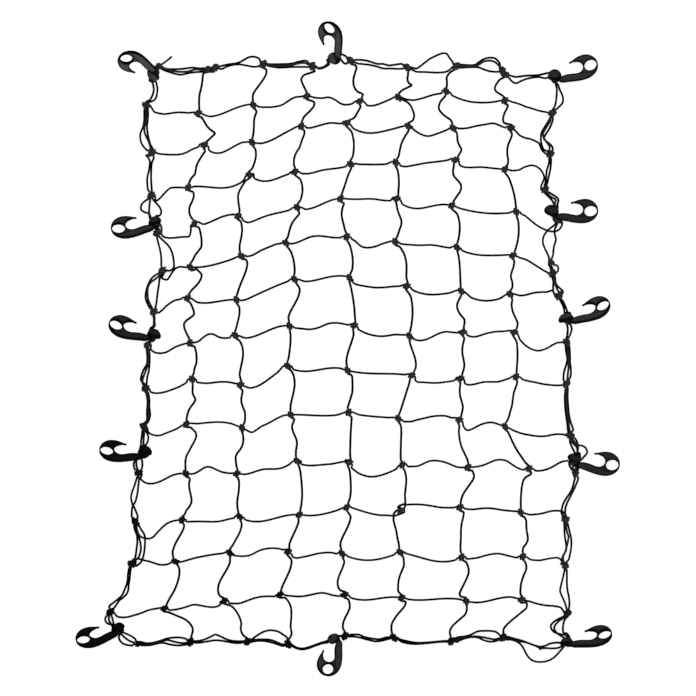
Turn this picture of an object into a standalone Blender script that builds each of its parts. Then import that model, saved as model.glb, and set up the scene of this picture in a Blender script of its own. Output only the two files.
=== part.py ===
# A cargo net of knotted elastic cord, spread flat on the ground, with a moulded hook on each
# of twelve points of its edge.  Thirteen cross cords and seven long cords are knotted where
# they cross, and knotted at both ends to a border of two cords.  The border is lashed to the
# necks of the hooks.
#
# X runs across the net, Y along it, Z up from the ground.  The tables are in millimetres.
# A sway is how far a strand strays from the straight line between its two knots, a third
# and two thirds of the way along: up the net on a cross cord, to the right on a long cord,
# and outwards on the border.

import math
from collections import namedtuple

import bmesh
import bpy
from mathutils import Euler, Matrix, Vector
from mathutils.geometry import tessellate_polygon

MM = 0.001
SHARP = math.radians(40)
CORD = 2.8  # side of a cord's section
GAP = 0.3  # left between two pieces that touch
LIFT = CORD + GAP  # how high a knot rides over the cord under it
KNOT = 3.4  # height of a knot above that
KNOT_WIDTH = 8.6
KNOT_REACH = 6.0  # half of a knot's length along its cord
KNOT_RAMP = 3.6  # run over which the cord drops from its knot
END_REACH = (8.2, 6.2)  # an end knot, inside and outside the middle of the border
PAIR = 1.75  # half the distance between the two border cords at a knot

Row = namedtuple("Row", "x y sway")
Column = namedtuple("Column", "top bottom sway")
Stop = namedtuple("Stop", "name outer inner")
Hook = namedtuple("Hook", "name neck heading hand pitch roll")

# Cross cords from the top: x and y of the left border knot, the seven crossings and the
# right border knot, then the sway of the eight strands between them.
ROWS = (
    Row(
        (-323, -240, -152, -66, 19, 80, 157, 251, 326),
        (390, 377, 390, 404, 396, 402, 412, 397, 377),
        ((-9, -3), (-8, -1), (-7, 0), (0, -6), (-9, -4), (-7, -2), (-10, -8), (1, -2)),
    ),
    Row(
        (-315, -230, -154, -75, -2, 96, 168, 261, 323),
        (314, 326, 330, 356, 361, 356, 353, 353, 313),
        ((-8, -7), (-14, -3), (-7, -2), (-2, 4), (-14, -8), (-13, -7), (2, 8), (-1, 6)),
    ),
    Row(
        (-315, -256, -158, -85, 4, 76, 172, 251, 315),
        (247, 258, 278, 283, 295, 298, 302, 287, 254),
        ((-2, 3), (-6, -13), (-11, -5), (-5, -1), (-1, -2), (-6, -2), (-7, -3), (10, 24)),
    ),
    Row(
        (-302, -246, -176, -82, -12, 78, 166, 269, 328),
        (182, 200, 212, 226, 240, 240, 229, 219, 188),
        ((-11, -12), (-2, 4), (-8, -5), (-6, -1), (-1, 0), (-12, -4), (-6, -6), (1, -3)),
    ),
    Row(
        (-299, -253, -171, -100, -2, 75, 174, 264, 325),
        (124, 130, 148, 169, 179, 171, 162, 149, 129),
        ((-7, 2), (-4, -3), (-1, 2), (3, 3), (-13, -8), (-2, 1), (-7, -4), (4, 1)),
    ),
    Row(
        (-311, -257, -179, -86, 2, 94, 181, 259, 338),
        (58, 81, 78, 111, 113, 100, 92, 87, 84),
        ((-1, 5), (-7, -3), (-3, 0), (-3, 3), (-10, -7), (-10, -7), (-12, -11), (0, 5)),
    ),
    Row(
        (-321, -253, -181, -94, 10, 98, 184, 266, 349),
        (3, 9, 21, 36, 37, 20, 26, 26, 11),
        ((-14, -4), (7, 1), (-7, 0), (-5, 5), (-10, -4), (-6, 3), (-4, 1), (-18, -14)),
    ),
    Row(
        (-323, -250, -172, -97, -1, 102, 180, 269, 349),
        (-64, -49, -58, -28, -35, -43, -48, -45, -57),
        ((-12, -10), (-4, 1), (-13, -7), (-6, 1), (-2, 0), (-10, -8), (-9, -8), (-4, -5)),
    ),
    Row(
        (-327, -259, -170, -92, 1, 80, 178, 251, 355),
        (-126, -121, -127, -106, -102, -112, -114, -125, -138),
        ((-15, -10), (4, 7), (-10, -4), (-2, -4), (-2, -1), (-1, 5), (-10, 3), (-8, -6)),
    ),
    Row(
        (-335, -260, -178, -82, 2, 87, 192, 290, 342),
        (-200, -200, -200, -180, -182, -186, -190, -192, -178),
        ((-16, -6), (9, 3), (-2, -6), (-6, -4), (-22, -16), (4, 5), (8, 8), (-8, -2)),
    ),
    Row(
        (-339, -266, -174, -78, -2, 82, 179, 276, 347),
        (-279, -274, -269, -266, -254, -258, -254, -262, -270),
        ((-26, -5), (-4, -5), (-9, -3), (-5, -4), (-6, -10), (8, 1), (-1, 1), (-1, 7)),
    ),
    Row(
        (-347, -277, -190, -96, -10, 83, 182, 280, 347),
        (-343, -341, -327, -325, -328, -326, -334, -333, -343),
        ((4, -4), (0, 1), (-4, 6), (-7, 0), (-11, -10), (-6, -10), (1, 4), (-3, 3)),
    ),
    Row(
        (-382, -294, -198, -109, -5, 86, 189, 278, 352),
        (-420, -416, -404, -394, -394, -399, -404, -402, -423),
        ((-11, -3), (-2, -4), (-6, 0), (-3, 2), (-7, -2), (-2, 2), (-2, 4), (1, 4)),
    ),
)

# Long cords from the left: the knots on the top and bottom borders, and the sway of the
# fourteen strands from the top down.
COLUMNS = (
    Column(
        (-218, 450),
        (-250, -470),
        ((-9, -6), (8, 20), (2, 2), (4, -6), (13, 11), (20, 8), (8, -7))
        + ((9, 6), (5, 1), (14, 0), (8, 12), (2, -7), (11, 6), (18, 17)),
    ),
    Column(
        (-136, 455),
        (-162, -468),
        ((6, -3), (2, 1), (8, 6), (-9, -7), (5, 4), (11, 3), (6, 3))
        + ((10, 3), (0, 5), (5, -4), (2, -2), (8, 4), (-1, -12), (10, 3)),
    ),
    Column(
        (-59, 452),
        (-95, -472),
        ((-12, -8), (14, 2), (5, -2), (10, 9), (1, 0), (6, 5), (10, 0))
        + ((3, 2), (10, 4), (0, 4), (5, 6), (2, -1), (9, 4), (13, 8)),
    ),
    Column(
        (6, 460),
        (-5, -462),
        ((-1, -4), (4, 6), (8, 7), (4, 1), (0, -2), (6, 7), (2, 3))
        + ((0, -4), (7, 4), (4, 2), (3, 5), (7, -2), (0, -10), (6, -2)),
    ),
    Column(
        (94, 450),
        (74, -463),
        ((6, 8), (15, 15), (-1, 0), (4, 4), (6, 7), (10, 6), (7, 6))
        + ((3, 8), (0, 0), (2, 0), (8, 7), (-8, -4), (4, -4), (1, -7)),
    ),
    Column(
        (171, 452),
        (166, -466),
        ((-7, -3), (-14, -9), (5, 10), (-1, 11), (9, 7), (2, 1), (-6, 3))
        + ((1, 5), (-1, 5), (-5, -4), (11, 2), (1, 0), (9, -4), (7, -6)),
    ),
    Column(
        (248, 444),
        (249, -463),
        ((-10, -13), (-1, -9), (0, -2), (4, 4), (6, 6), (0, 2), (0, 6))
        + ((4, 3), (2, 3), (0, 1), (-7, -4), (8, 9), (5, -3), (9, -4)),
    ),
)

# Hooks clockwise from the top left corner: the middle of the neck, which way the eye lies
# from it, +1 or -1 as the point is to the left or the right of that way, and how far the
# eye and the point are tipped up.
HOOKS = (
    Hook("hook_01", (-314, 442), 152, 1, 35, -10),
    Hook("hook_02", (-22, 469), 101, 1, 36, 0),
    Hook("hook_03", (337, 435), 20, 1, -4, -6),
    Hook("hook_04", (334, 217), 3, 1, -4, -4),
    Hook("hook_05", (357, 48), 22, 1, 7, -32),
    Hook("hook_06", (367, -179), -7, 1, -5, 0),
    Hook("hook_07", (357, -468), 12, 1, 7, -34),
    Hook("hook_08", (-21, -469), 254, -1, 35, 0),
    Hook("hook_09", (-371, -450), 196, -1, 12, -28),
    Hook("hook_10", (-331, -168), 175, -1, 6, -28),
    Hook("hook_11", (-319, 24), 163, -1, 6, -30),
    Hook("hook_12", (-313, 200), 188, -1, 5, -22),
)

# The border clockwise from the top left corner, a side at a time: each hook or end knot,
# and the sway of the outer and the inner cord on the way to the next.
SIDES = {
    "top": (
        Stop("hook_01", (3, 2), (-5, -5)),
        Stop("T1", (5, 12), (-1, -2)),
        Stop("T2", (2, 7), (-2, -1)),
        Stop("T3", (-7, -5), (-7, -5)),
        Stop("hook_02", (0, 1), (-4, -7)),
        Stop("T4", (2, 2), (-1, -1)),
        Stop("T5", (5, 19), (-8, -9)),
        Stop("T6", (11, 19), (-2, -1)),
        Stop("T7", (-5, 2), (-14, -7)),
    ),
    "right": (
        Stop("hook_03", (8, 15), (1, 2)),
        Stop("R1", (-1, -5), (-8, -15)),
        Stop("R2", (2, 2), (-1, -1)),
        Stop("R3", (13, 8), (0, 0)),
        Stop("hook_04", (9, 8), (-3, -5)),
        Stop("R4", (6, 3), (-13, -7)),
        Stop("R5", (3, 1), (-2, -2)),
        Stop("R6", (0, 0), (-1, -1)),
        Stop("hook_05", (3, 2), (-2, -1)),
        Stop("R7", (4, 8), (2, -4)),
        Stop("R8", (0, 1), (-2, -1)),
        Stop("R9", (7, 20), (-2, -1)),
        Stop("hook_06", (7, 0), (2, -6)),
        Stop("R11", (7, 10), (-2, 0)),
        Stop("R12", (2, 4), (-5, -6)),
        Stop("R13", (-9, -12), (-22, -20)),
    ),
    "bottom": (
        Stop("hook_07", (34, 22), (9, 5)),
        Stop("B7", (4, -1), (-12, -4)),
        Stop("B6", (6, 9), (3, 4)),
        Stop("B5", (6, 1), (2, -4)),
        Stop("B4", (0, 0), (0, 0)),
        Stop("hook_08", (3, 10), (3, 10)),
        Stop("B3", (1, -2), (-19, -13)),
        Stop("B2", (2, -1), (-1, -8)),
        Stop("B1", (10, 19), (3, 14)),
    ),
    "left": (
        Stop("hook_09", (12, 11), (1, -1)),
        Stop("L13", (-8, -7), (-14, -10)),
        Stop("L12", (-6, -3), (-19, -17)),
        Stop("L11", (8, 9), (5, 0)),
        Stop("L10", (8, 10), (-4, -3)),
        Stop("hook_10", (1, 1), (-6, -10)),
        Stop("L9", (-5, -3), (-7, -5)),
        Stop("L8", (7, -1), (-1, -5)),
        Stop("L7", (0, 0), (0, 0)),
        Stop("hook_11", (-4, -2), (-7, -4)),
        Stop("L6", (16, 12), (-2, -1)),
        Stop("L5", (0, 0), (-20, -16)),
        Stop("L4", (0, 0), (0, 0)),
        Stop("hook_12", (12, 16), (-12, -11)),
        Stop("L3", (6, 3), (-1, -1)),
        Stop("L2", (15, 9), (-1, -2)),
        Stop("L1", (-6, -6), (-13, -11)),
    ),
}
OUTWARD = {
    "top": Vector((0, 1)),
    "right": Vector((1, 0)),
    "bottom": Vector((0, -1)),
    "left": Vector((-1, 0)),
}

# A hook in its own plane, from its neck: x runs to the eye and y to the side of the point.
HOOK_THICK = 8.0
BEND = {"middle": (44, 1.7), "radii": (22.6, 19.3), "from": 141, "to": -112}
MOUTH = {"middle": (33, 4.5), "radii": (9.5, 9.5), "from": 100, "to": -96}
EYE = {"middle": (54.4, 0.2), "radii": (10.2, 8.1), "tilt": 12}
SHANK_BACK = ((20, -14.6), (11, -12.3), (3.6, -9.6))
SHANK_FRONT = ((6.9, 0.2), (12, -0.8), (20, -2.4))
KNOB = {"middle": (-9.5, 3.5), "radius": 8.8}
SHOULDER = (5.0, -4.4)  # where the neck meets the shank
NECK_RADIUS = 3.9
LASHING = {"inner": 4.6, "outer": 7.2, "from": 9.0, "to": 14.4}  # along the neck from the knob
KNOB_CLEAR = 8.5  # a cord on the ground stays this far from a knob's middle
KNOB_PASS = 11.0
NECK_CLEAR = 8.9


def clear_scene():
    for obj in list(bpy.data.objects):
        bpy.data.objects.remove(obj, do_unlink=True)


def material(name, colour, roughness):
    made = bpy.data.materials.new(name)
    made.use_nodes = True
    shader = made.node_tree.nodes["Principled BSDF"]
    shader.inputs["Base Color"].default_value = (*colour, 1)
    shader.inputs["Roughness"].default_value = roughness
    shader.inputs["Metallic"].default_value = 0
    return made


def add_object(name, mesh, finish):
    mesh.materials.append(finish)
    obj = bpy.data.objects.new(name, mesh)
    bpy.context.scene.collection.objects.link(obj)
    return obj


def closed_mesh(name, points, faces):
    """A mesh in metres from millimetres, with its faces turned outwards."""
    shape = bmesh.new()
    corners = [shape.verts.new(Vector(point) * MM) for point in points]
    for face in faces:
        shape.faces.new([corners[i] for i in face])
    bmesh.ops.recalc_face_normals(shape, faces=shape.faces)
    mesh = bpy.data.meshes.new(name)
    shape.to_mesh(mesh)
    shape.free()
    mesh.shade_smooth()
    mesh.set_sharp_from_angle(angle=SHARP)
    return mesh


# Cords


def strand_point(start, end, sway, side, along):
    """A point of a swaying strand, from a cubic that has its two sways at the thirds."""
    bulge = 13.5 * along * (1 - along)
    stray = bulge * (sway[0] * (2 / 3 - along) + sway[1] * (along - 1 / 3))
    return start.lerp(end, along) + side * stray


def swept(name, stations, finish):
    """A cord with a flat-sided section: each station is a point, a width, a bottom and a top."""
    points, faces = [], []
    for i, (point, width, bottom, top) in enumerate(stations):
        ahead = stations[min(i + 1, len(stations) - 1)][0] - stations[max(i - 1, 0)][0]
        across = Vector((-ahead.y, ahead.x)).normalized() * width / 2
        for side, height in ((1, bottom), (-1, bottom), (-1, top), (1, top)):
            corner = point + across * side
            points.append((corner.x, corner.y, height))
        if i:
            for k in range(4):
                a, b = 4 * i + k, 4 * i + (k + 1) % 4
                faces.append((a - 4, b - 4, b, a))
    last = len(points) - 4
    faces += [(0, 1, 2, 3), (last, last + 1, last + 2, last + 3)]
    return add_object(name, closed_mesh(name, points, faces), finish)


def low(point):
    return (point, CORD, 0.0, CORD)


def high(point):
    return (point, KNOT_WIDTH, LIFT, LIFT + KNOT)


def border_knots():
    """The knot at each end of each cord, by the name that the border's table gives it."""
    knots = {}
    for number, row in enumerate(ROWS, start=1):
        knots[f"L{number}"] = Vector((row.x[0], row.y[0]))
        knots[f"R{number}"] = Vector((row.x[-1], row.y[-1]))
    for number, column in enumerate(COLUMNS, start=1):
        knots[f"T{number}"] = Vector(column.top)
        knots[f"B{number}"] = Vector(column.bottom)
    for hook in HOOKS:
        knots[hook.name] = Vector(hook.neck)
    return knots


def border_out(knots):
    """The way out of the net at each stop of the border, square to the border there."""
    out = {}
    names = [stop.name for stops in SIDES.values() for stop in stops]
    for i, name in enumerate(names):
        ahead = knots[names[(i + 1) % len(names)]] - knots[names[i - 1]]
        out[name] = Vector((-ahead.y, ahead.x)).normalized()
    return out


def end_knot(knot, out):
    """Stations of a cord's end, from the strand to its tip beyond the border."""
    inside, outside = END_REACH
    return [
        low(knot - out * (inside + KNOT_RAMP)),
        high(knot - out * inside),
        high(knot + out * outside),
    ]


def cross_cord(number, row, knots, out, finish):
    crossings = [Vector(place) for place in zip(row.x, row.y)]
    names = (f"L{number}", f"R{number}")
    stations = end_knot(crossings[0], out[names[0]])[::-1]
    for i, sway in enumerate(row.sway):
        for along in (1 / 3, 2 / 3):
            point = strand_point(crossings[i], crossings[i + 1], sway, Vector((0, 1)), along)
            stations.append(low(point))
        if i + 1 < len(row.sway):
            stations.append(low(crossings[i + 1]))
    if names[1] in out:
        stations += end_knot(crossings[-1], out[names[1]])
    else:
        stations.append(low(crossings[-1]))
    swept(f"row_cord_{number:02d}", stations, finish)


def long_cord(number, column, out, finish):
    crossings = [Vector(column.top)]
    crossings += [Vector((row.x[number], row.y[number])) for row in ROWS]
    crossings.append(Vector(column.bottom))
    stations = end_knot(crossings[0], out[f"T{number}"])[::-1]
    for i, sway in enumerate(column.sway):
        middle = strand_point(crossings[i], crossings[i + 1], sway, Vector((1, 0)), 0.5)
        stations.append(low(middle))
        if i + 1 < len(column.sway):
            knot = crossings[i + 1]
            run = (crossings[i + 2] - crossings[i]).normalized()
            foot = run * (KNOT_REACH + KNOT_RAMP)
            stations += [low(knot - foot), high(knot - run * KNOT_REACH)]
            stations += [high(knot + run * KNOT_REACH), low(knot + foot)]
    stations += end_knot(crossings[-1], out[f"B{number}"])
    swept(f"column_cord_{number}", stations, finish)


def stop_short(start, hook, offset):
    """Where a cord that heads for a hook's neck from start has to end, clear of the hook."""
    neck, knob = Vector(hook.neck), hook_place(hook) @ Vector((*KNOB["middle"], 0))
    aim = neck + offset
    steps = 200
    for i in range(steps):
        point = start.lerp(aim, i / steps)
        near_knob = (point - knob.xy).length < KNOB_CLEAR
        if near_knob or (point - neck).length < NECK_CLEAR:
            return start.lerp(aim, max(i - 1, 0) / steps)
    return aim


def outer_cords(knots, out, finish):
    """The outer border cord, in twelve lengths that each run from one hook to the next."""
    hooks = {hook.name: hook for hook in HOOKS}
    stops = [(side, stop) for side, row in SIDES.items() for stop in row]
    number, stations = 0, []
    for i, (side, stop) in enumerate(stops):
        following = stops[(i + 1) % len(stops)][1]
        here, there = knots[stop.name], knots[following.name]
        offset = OUTWARD[side] * PAIR
        middle = strand_point(here, there, stop.outer, OUTWARD[side], 0.5) + offset
        if stop.name in hooks:
            stations = [low(stop_short(middle, hooks[stop.name], offset))]
        else:
            stations.append(low(here + out[stop.name] * PAIR))
        stations.append(low(middle))
        if following.name in hooks:
            stations.append(low(stop_short(middle, hooks[following.name], offset)))
            number += 1
            swept(f"border_outer_{number:02d}", stations, finish)


def inner_cords(knots, out, finish):
    """The inner border cord, in one length for each side, which passes inside its hooks."""
    hooks = {hook.name: hook for hook in HOOKS}
    corners = [row[0].name for row in SIDES.values()]
    for number, (side, row) in enumerate(SIDES.items()):
        inward = -OUTWARD[side]
        places = []
        for stop in row:
            place = knots[stop.name] - out[stop.name] * PAIR
            if stop.name in hooks and stop.name not in corners:
                knob = hook_place(hooks[stop.name]) @ Vector((*KNOB["middle"], 0))
                place = knob.xy + inward * KNOB_PASS
            places.append(place)
        corner = hooks[corners[(number + 1) % len(corners)]]
        places[0] += inward * PAIR
        places.append(knots[corner.name] + inward * PAIR)
        stations = []
        for i, stop in enumerate(row):
            middle = strand_point(places[i], places[i + 1], stop.inner, -inward, 0.5)
            if i == 0:
                stations.append(low(stop_short(middle, hooks[stop.name], inward * PAIR)))
            else:
                stations.append(low(places[i]))
            stations.append(low(middle))
        stations.append(low(stop_short(middle, corner, inward * PAIR)))
        swept(f"border_inner_{side}", stations, finish)


# Hooks


def oval(middle, radii, start, end, steps, tilt=0):
    """Points of an elliptical arc, in degrees."""
    turn = Matrix.Rotation(math.radians(tilt), 2)
    points = []
    for i in range(steps + 1):
        angle = math.radians(start + (end - start) * i / steps)
        point = Vector((radii[0] * math.cos(angle), radii[1] * math.sin(angle)))
        points.append(Vector(middle) + turn @ point)
    return points


def hook_outline():
    bend = oval(BEND["middle"], BEND["radii"], BEND["from"], BEND["to"], 15)
    mouth = oval(MOUTH["middle"], MOUTH["radii"], MOUTH["to"], MOUTH["from"], 7)
    back = [Vector(point) for point in SHANK_BACK]
    front = [Vector(point) for point in SHANK_FRONT]
    return bend + back + front + mouth


def hook_plate():
    """The flat body of a hook, with the eye through it."""
    outline = hook_outline()
    eye = oval(EYE["middle"], EYE["radii"], 0, 360, 11, EYE["tilt"])[:-1]
    rings = [outline, eye]
    count = len(outline) + len(eye)
    caps = tessellate_polygon([[point.to_3d() for point in ring] for ring in rings])
    flat = outline + eye
    points = [(p.x, p.y, -HOOK_THICK / 2) for p in flat] + [(p.x, p.y, HOOK_THICK / 2) for p in flat]
    faces = [tuple(cap) for cap in caps]
    faces += [tuple(i + count for i in cap) for cap in caps]
    first = 0
    for ring in rings:
        for i in range(len(ring)):
            a, b = first + i, first + (i + 1) % len(ring)
            faces.append((a, b, b + count, a + count))
        first += len(ring)
    return closed_mesh("hook_plate", points, faces)


def neck_frame():
    """Turns +Z to run from the knob's middle along the neck, in a hook's own frame."""
    knob, shoulder = Vector((*KNOB["middle"], 0)), Vector((*SHOULDER, 0))
    turn = (shoulder - knob).to_track_quat("Z", "Y").to_matrix().to_4x4()
    return Matrix.Translation(knob) @ turn, (shoulder - knob).length


def turned(name, profile, sides, closed):
    """A solid turned round Z from a profile of radius and height pairs."""
    rings = [[(0, 0, h)] if r == 0 else
             [(r * math.cos(2 * math.pi * k / sides), r * math.sin(2 * math.pi * k / sides), h)
              for k in range(sides)] for r, h in profile]
    points, starts = [], []
    for ring in rings:
        starts.append(len(points))
        points += ring
    faces = []
    pairs = list(zip(range(len(rings)), range(1, len(rings))))
    if closed:
        pairs.append((len(rings) - 1, 0))
    for a, b in pairs:
        for k in range(sides):
            n = (k + 1) % sides
            if len(rings[a]) == 1:
                faces.append((starts[a], starts[b] + k, starts[b] + n))
            elif len(rings[b]) == 1:
                faces.append((starts[a] + k, starts[b], starts[a] + n))
            else:
                faces.append((starts[a] + k, starts[b] + k, starts[b] + n, starts[a] + n))
    return closed_mesh(name, points, faces)


def knob_mesh():
    """The ball on the end of a hook with the neck under it, as one turned solid."""
    radius = KNOB["radius"]
    frame, length = neck_frame()
    profile = [(0, -radius)]
    for angle in (-54, -18, 18, 54):
        turn = math.radians(angle)
        profile.append((radius * math.cos(turn), radius * math.sin(turn)))
    profile += [(NECK_RADIUS, radius * 0.89), (NECK_RADIUS, length + 2.6), (0, length + 2.6)]
    mesh = turned("knob", profile, 10, False)
    mesh.transform(Matrix.Scale(MM, 4) @ frame @ Matrix.Scale(1 / MM, 4))
    return mesh


def hook_place(hook):
    """A hook's own frame in the net's, in millimetres, with its lowest point on the ground."""
    turn = Euler((math.radians(hook.roll), -math.radians(hook.pitch), 0)).to_matrix().to_4x4()
    hand = Matrix.Diagonal((1, hook.hand, 1, 1))
    heading = Matrix.Rotation(math.radians(hook.heading), 4, "Z")
    place = heading @ hand @ turn
    lowest = KNOB["radius"] - (place @ Vector((*KNOB["middle"], 0))).z
    for point in hook_outline():
        for face in (-1, 1):
            corner = place @ Vector((point.x, point.y, face * HOOK_THICK / 2))
            lowest = max(lowest, -corner.z)
    return Matrix.Translation((*hook.neck, lowest)) @ place


def moved(mesh, hook):
    """Puts a mesh made in a hook's frame in its place, keeping its faces outwards."""
    mesh.transform(Matrix.Scale(MM, 4) @ hook_place(hook) @ Matrix.Scale(1 / MM, 4))
    if hook.hand < 0:
        mesh.flip_normals()


def make_hook(hook, finish):
    plate, knob = hook_plate(), knob_mesh()
    moved(plate, hook)
    moved(knob, hook)
    body = add_object(hook.name, plate, finish)
    ball = add_object(hook.name + "_ball", knob, finish)
    ball.hide_render = True
    ball.display_type = "WIRE"
    union = body.modifiers.new("ball", "BOOLEAN")
    union.operation = "UNION"
    union.object = ball


def make_lashing(hook, finish):
    """The turns of border cord round a hook's neck."""
    inner, outer = LASHING["inner"], LASHING["outer"]
    low_end, high_end = LASHING["from"], LASHING["to"]
    profile = [(inner, low_end), (outer, low_end), (outer, high_end), (inner, high_end)]
    mesh = turned("lashing", profile, 8, True)
    mesh.transform(Matrix.Scale(MM, 4) @ neck_frame()[0] @ Matrix.Scale(1 / MM, 4))
    moved(mesh, hook)
    add_object(hook.name.replace("hook", "lashing"), mesh, finish)


def main():
    clear_scene()
    elastic = material("elastic_cord", (0.012, 0.012, 0.013), 0.75)
    plastic = material("moulded_plastic", (0.02, 0.02, 0.021), 0.45)
    knots = border_knots()
    out = border_out(knots)
    for number, row in enumerate(ROWS, start=1):
        cross_cord(number, row, knots, out, elastic)
    for number, column in enumerate(COLUMNS, start=1):
        long_cord(number, column, out, elastic)
    outer_cords(knots, out, elastic)
    inner_cords(knots, out, elastic)
    for hook in HOOKS:
        make_hook(hook, plastic)
        make_lashing(hook, elastic)


main()
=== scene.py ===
import math
import random

import bmesh
import bpy
import numpy as np
from mathutils import Euler, Matrix, Vector, kdtree
from mathutils.geometry import delaunay_2d_cdt
from numpy.linalg import norm


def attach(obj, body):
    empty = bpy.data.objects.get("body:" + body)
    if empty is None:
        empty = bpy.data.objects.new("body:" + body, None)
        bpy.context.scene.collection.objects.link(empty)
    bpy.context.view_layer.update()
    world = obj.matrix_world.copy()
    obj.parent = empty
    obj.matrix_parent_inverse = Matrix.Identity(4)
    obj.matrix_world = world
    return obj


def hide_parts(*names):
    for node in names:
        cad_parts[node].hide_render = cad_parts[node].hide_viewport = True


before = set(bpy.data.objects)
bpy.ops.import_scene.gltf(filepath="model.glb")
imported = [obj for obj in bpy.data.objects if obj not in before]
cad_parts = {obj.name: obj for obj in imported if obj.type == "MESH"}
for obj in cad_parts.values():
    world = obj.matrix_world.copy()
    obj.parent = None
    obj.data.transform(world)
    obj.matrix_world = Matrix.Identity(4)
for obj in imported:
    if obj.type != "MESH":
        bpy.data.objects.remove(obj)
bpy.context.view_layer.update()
print("frame loaded")

# Tables are in millimetres, as in part.py: X across the net, Y along it, Z up from the ground.
mm = 0.001


def inScene(name, data):
    obj = bpy.data.objects.new(name, data)
    bpy.context.scene.collection.objects.link(obj)
    return obj


# Camera

view = {"lens": 200, "far": 30, "at": (-0.0001, 0.00096, 6.194)}
camera = inScene("camera", bpy.data.cameras.new("camera"))
camera.data.lens = view["lens"]
camera.data.clip_end = view["far"]
camera.location = view["at"]
bpy.context.scene.camera = camera
print("camera made")

# Cords: where they run

net = {
    "cord": 3.0,
    "across": {"row": 3.4, "column": 3.7, "border": 3.5, "freeTail": 3.1},  # as drawn, slack
    "knotHeight": 4.5,  # the cross cord's middle in a crossing's knot
    "borderKnot": 5.6,
    "overKnot": 1.7,  # a cord keeps that height for this many widths from the knot,
    "comesDown": 2.3,  # and takes this many more to reach the ground
    "through": (-2.1, -1, 0, 1, 2.1),  # points of the cross cord in a knot, in widths
    "clear": 2.3,  # a strand's points start this many widths from a knot,
    "leadIn": 3.3,  # or this many where only its sway is given,
    "swayed": (0.1, 0.2, 1 / 3, 0.42, 0.5, 0.58, 2 / 3, 0.8, 0.9),  # which has points at these shares
    "beside": 0.14,  # the share of such a strand that is just off its knot
    "closest": 0.05,  # points nearer each other than this count as one
    "finer": 3,  # a curve is first cut into this many points for each step
    "step": 1.5,
    "seed": 11,
}
d = net["cord"]
r = d / 2
dice = random.Random(net["seed"])

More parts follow.
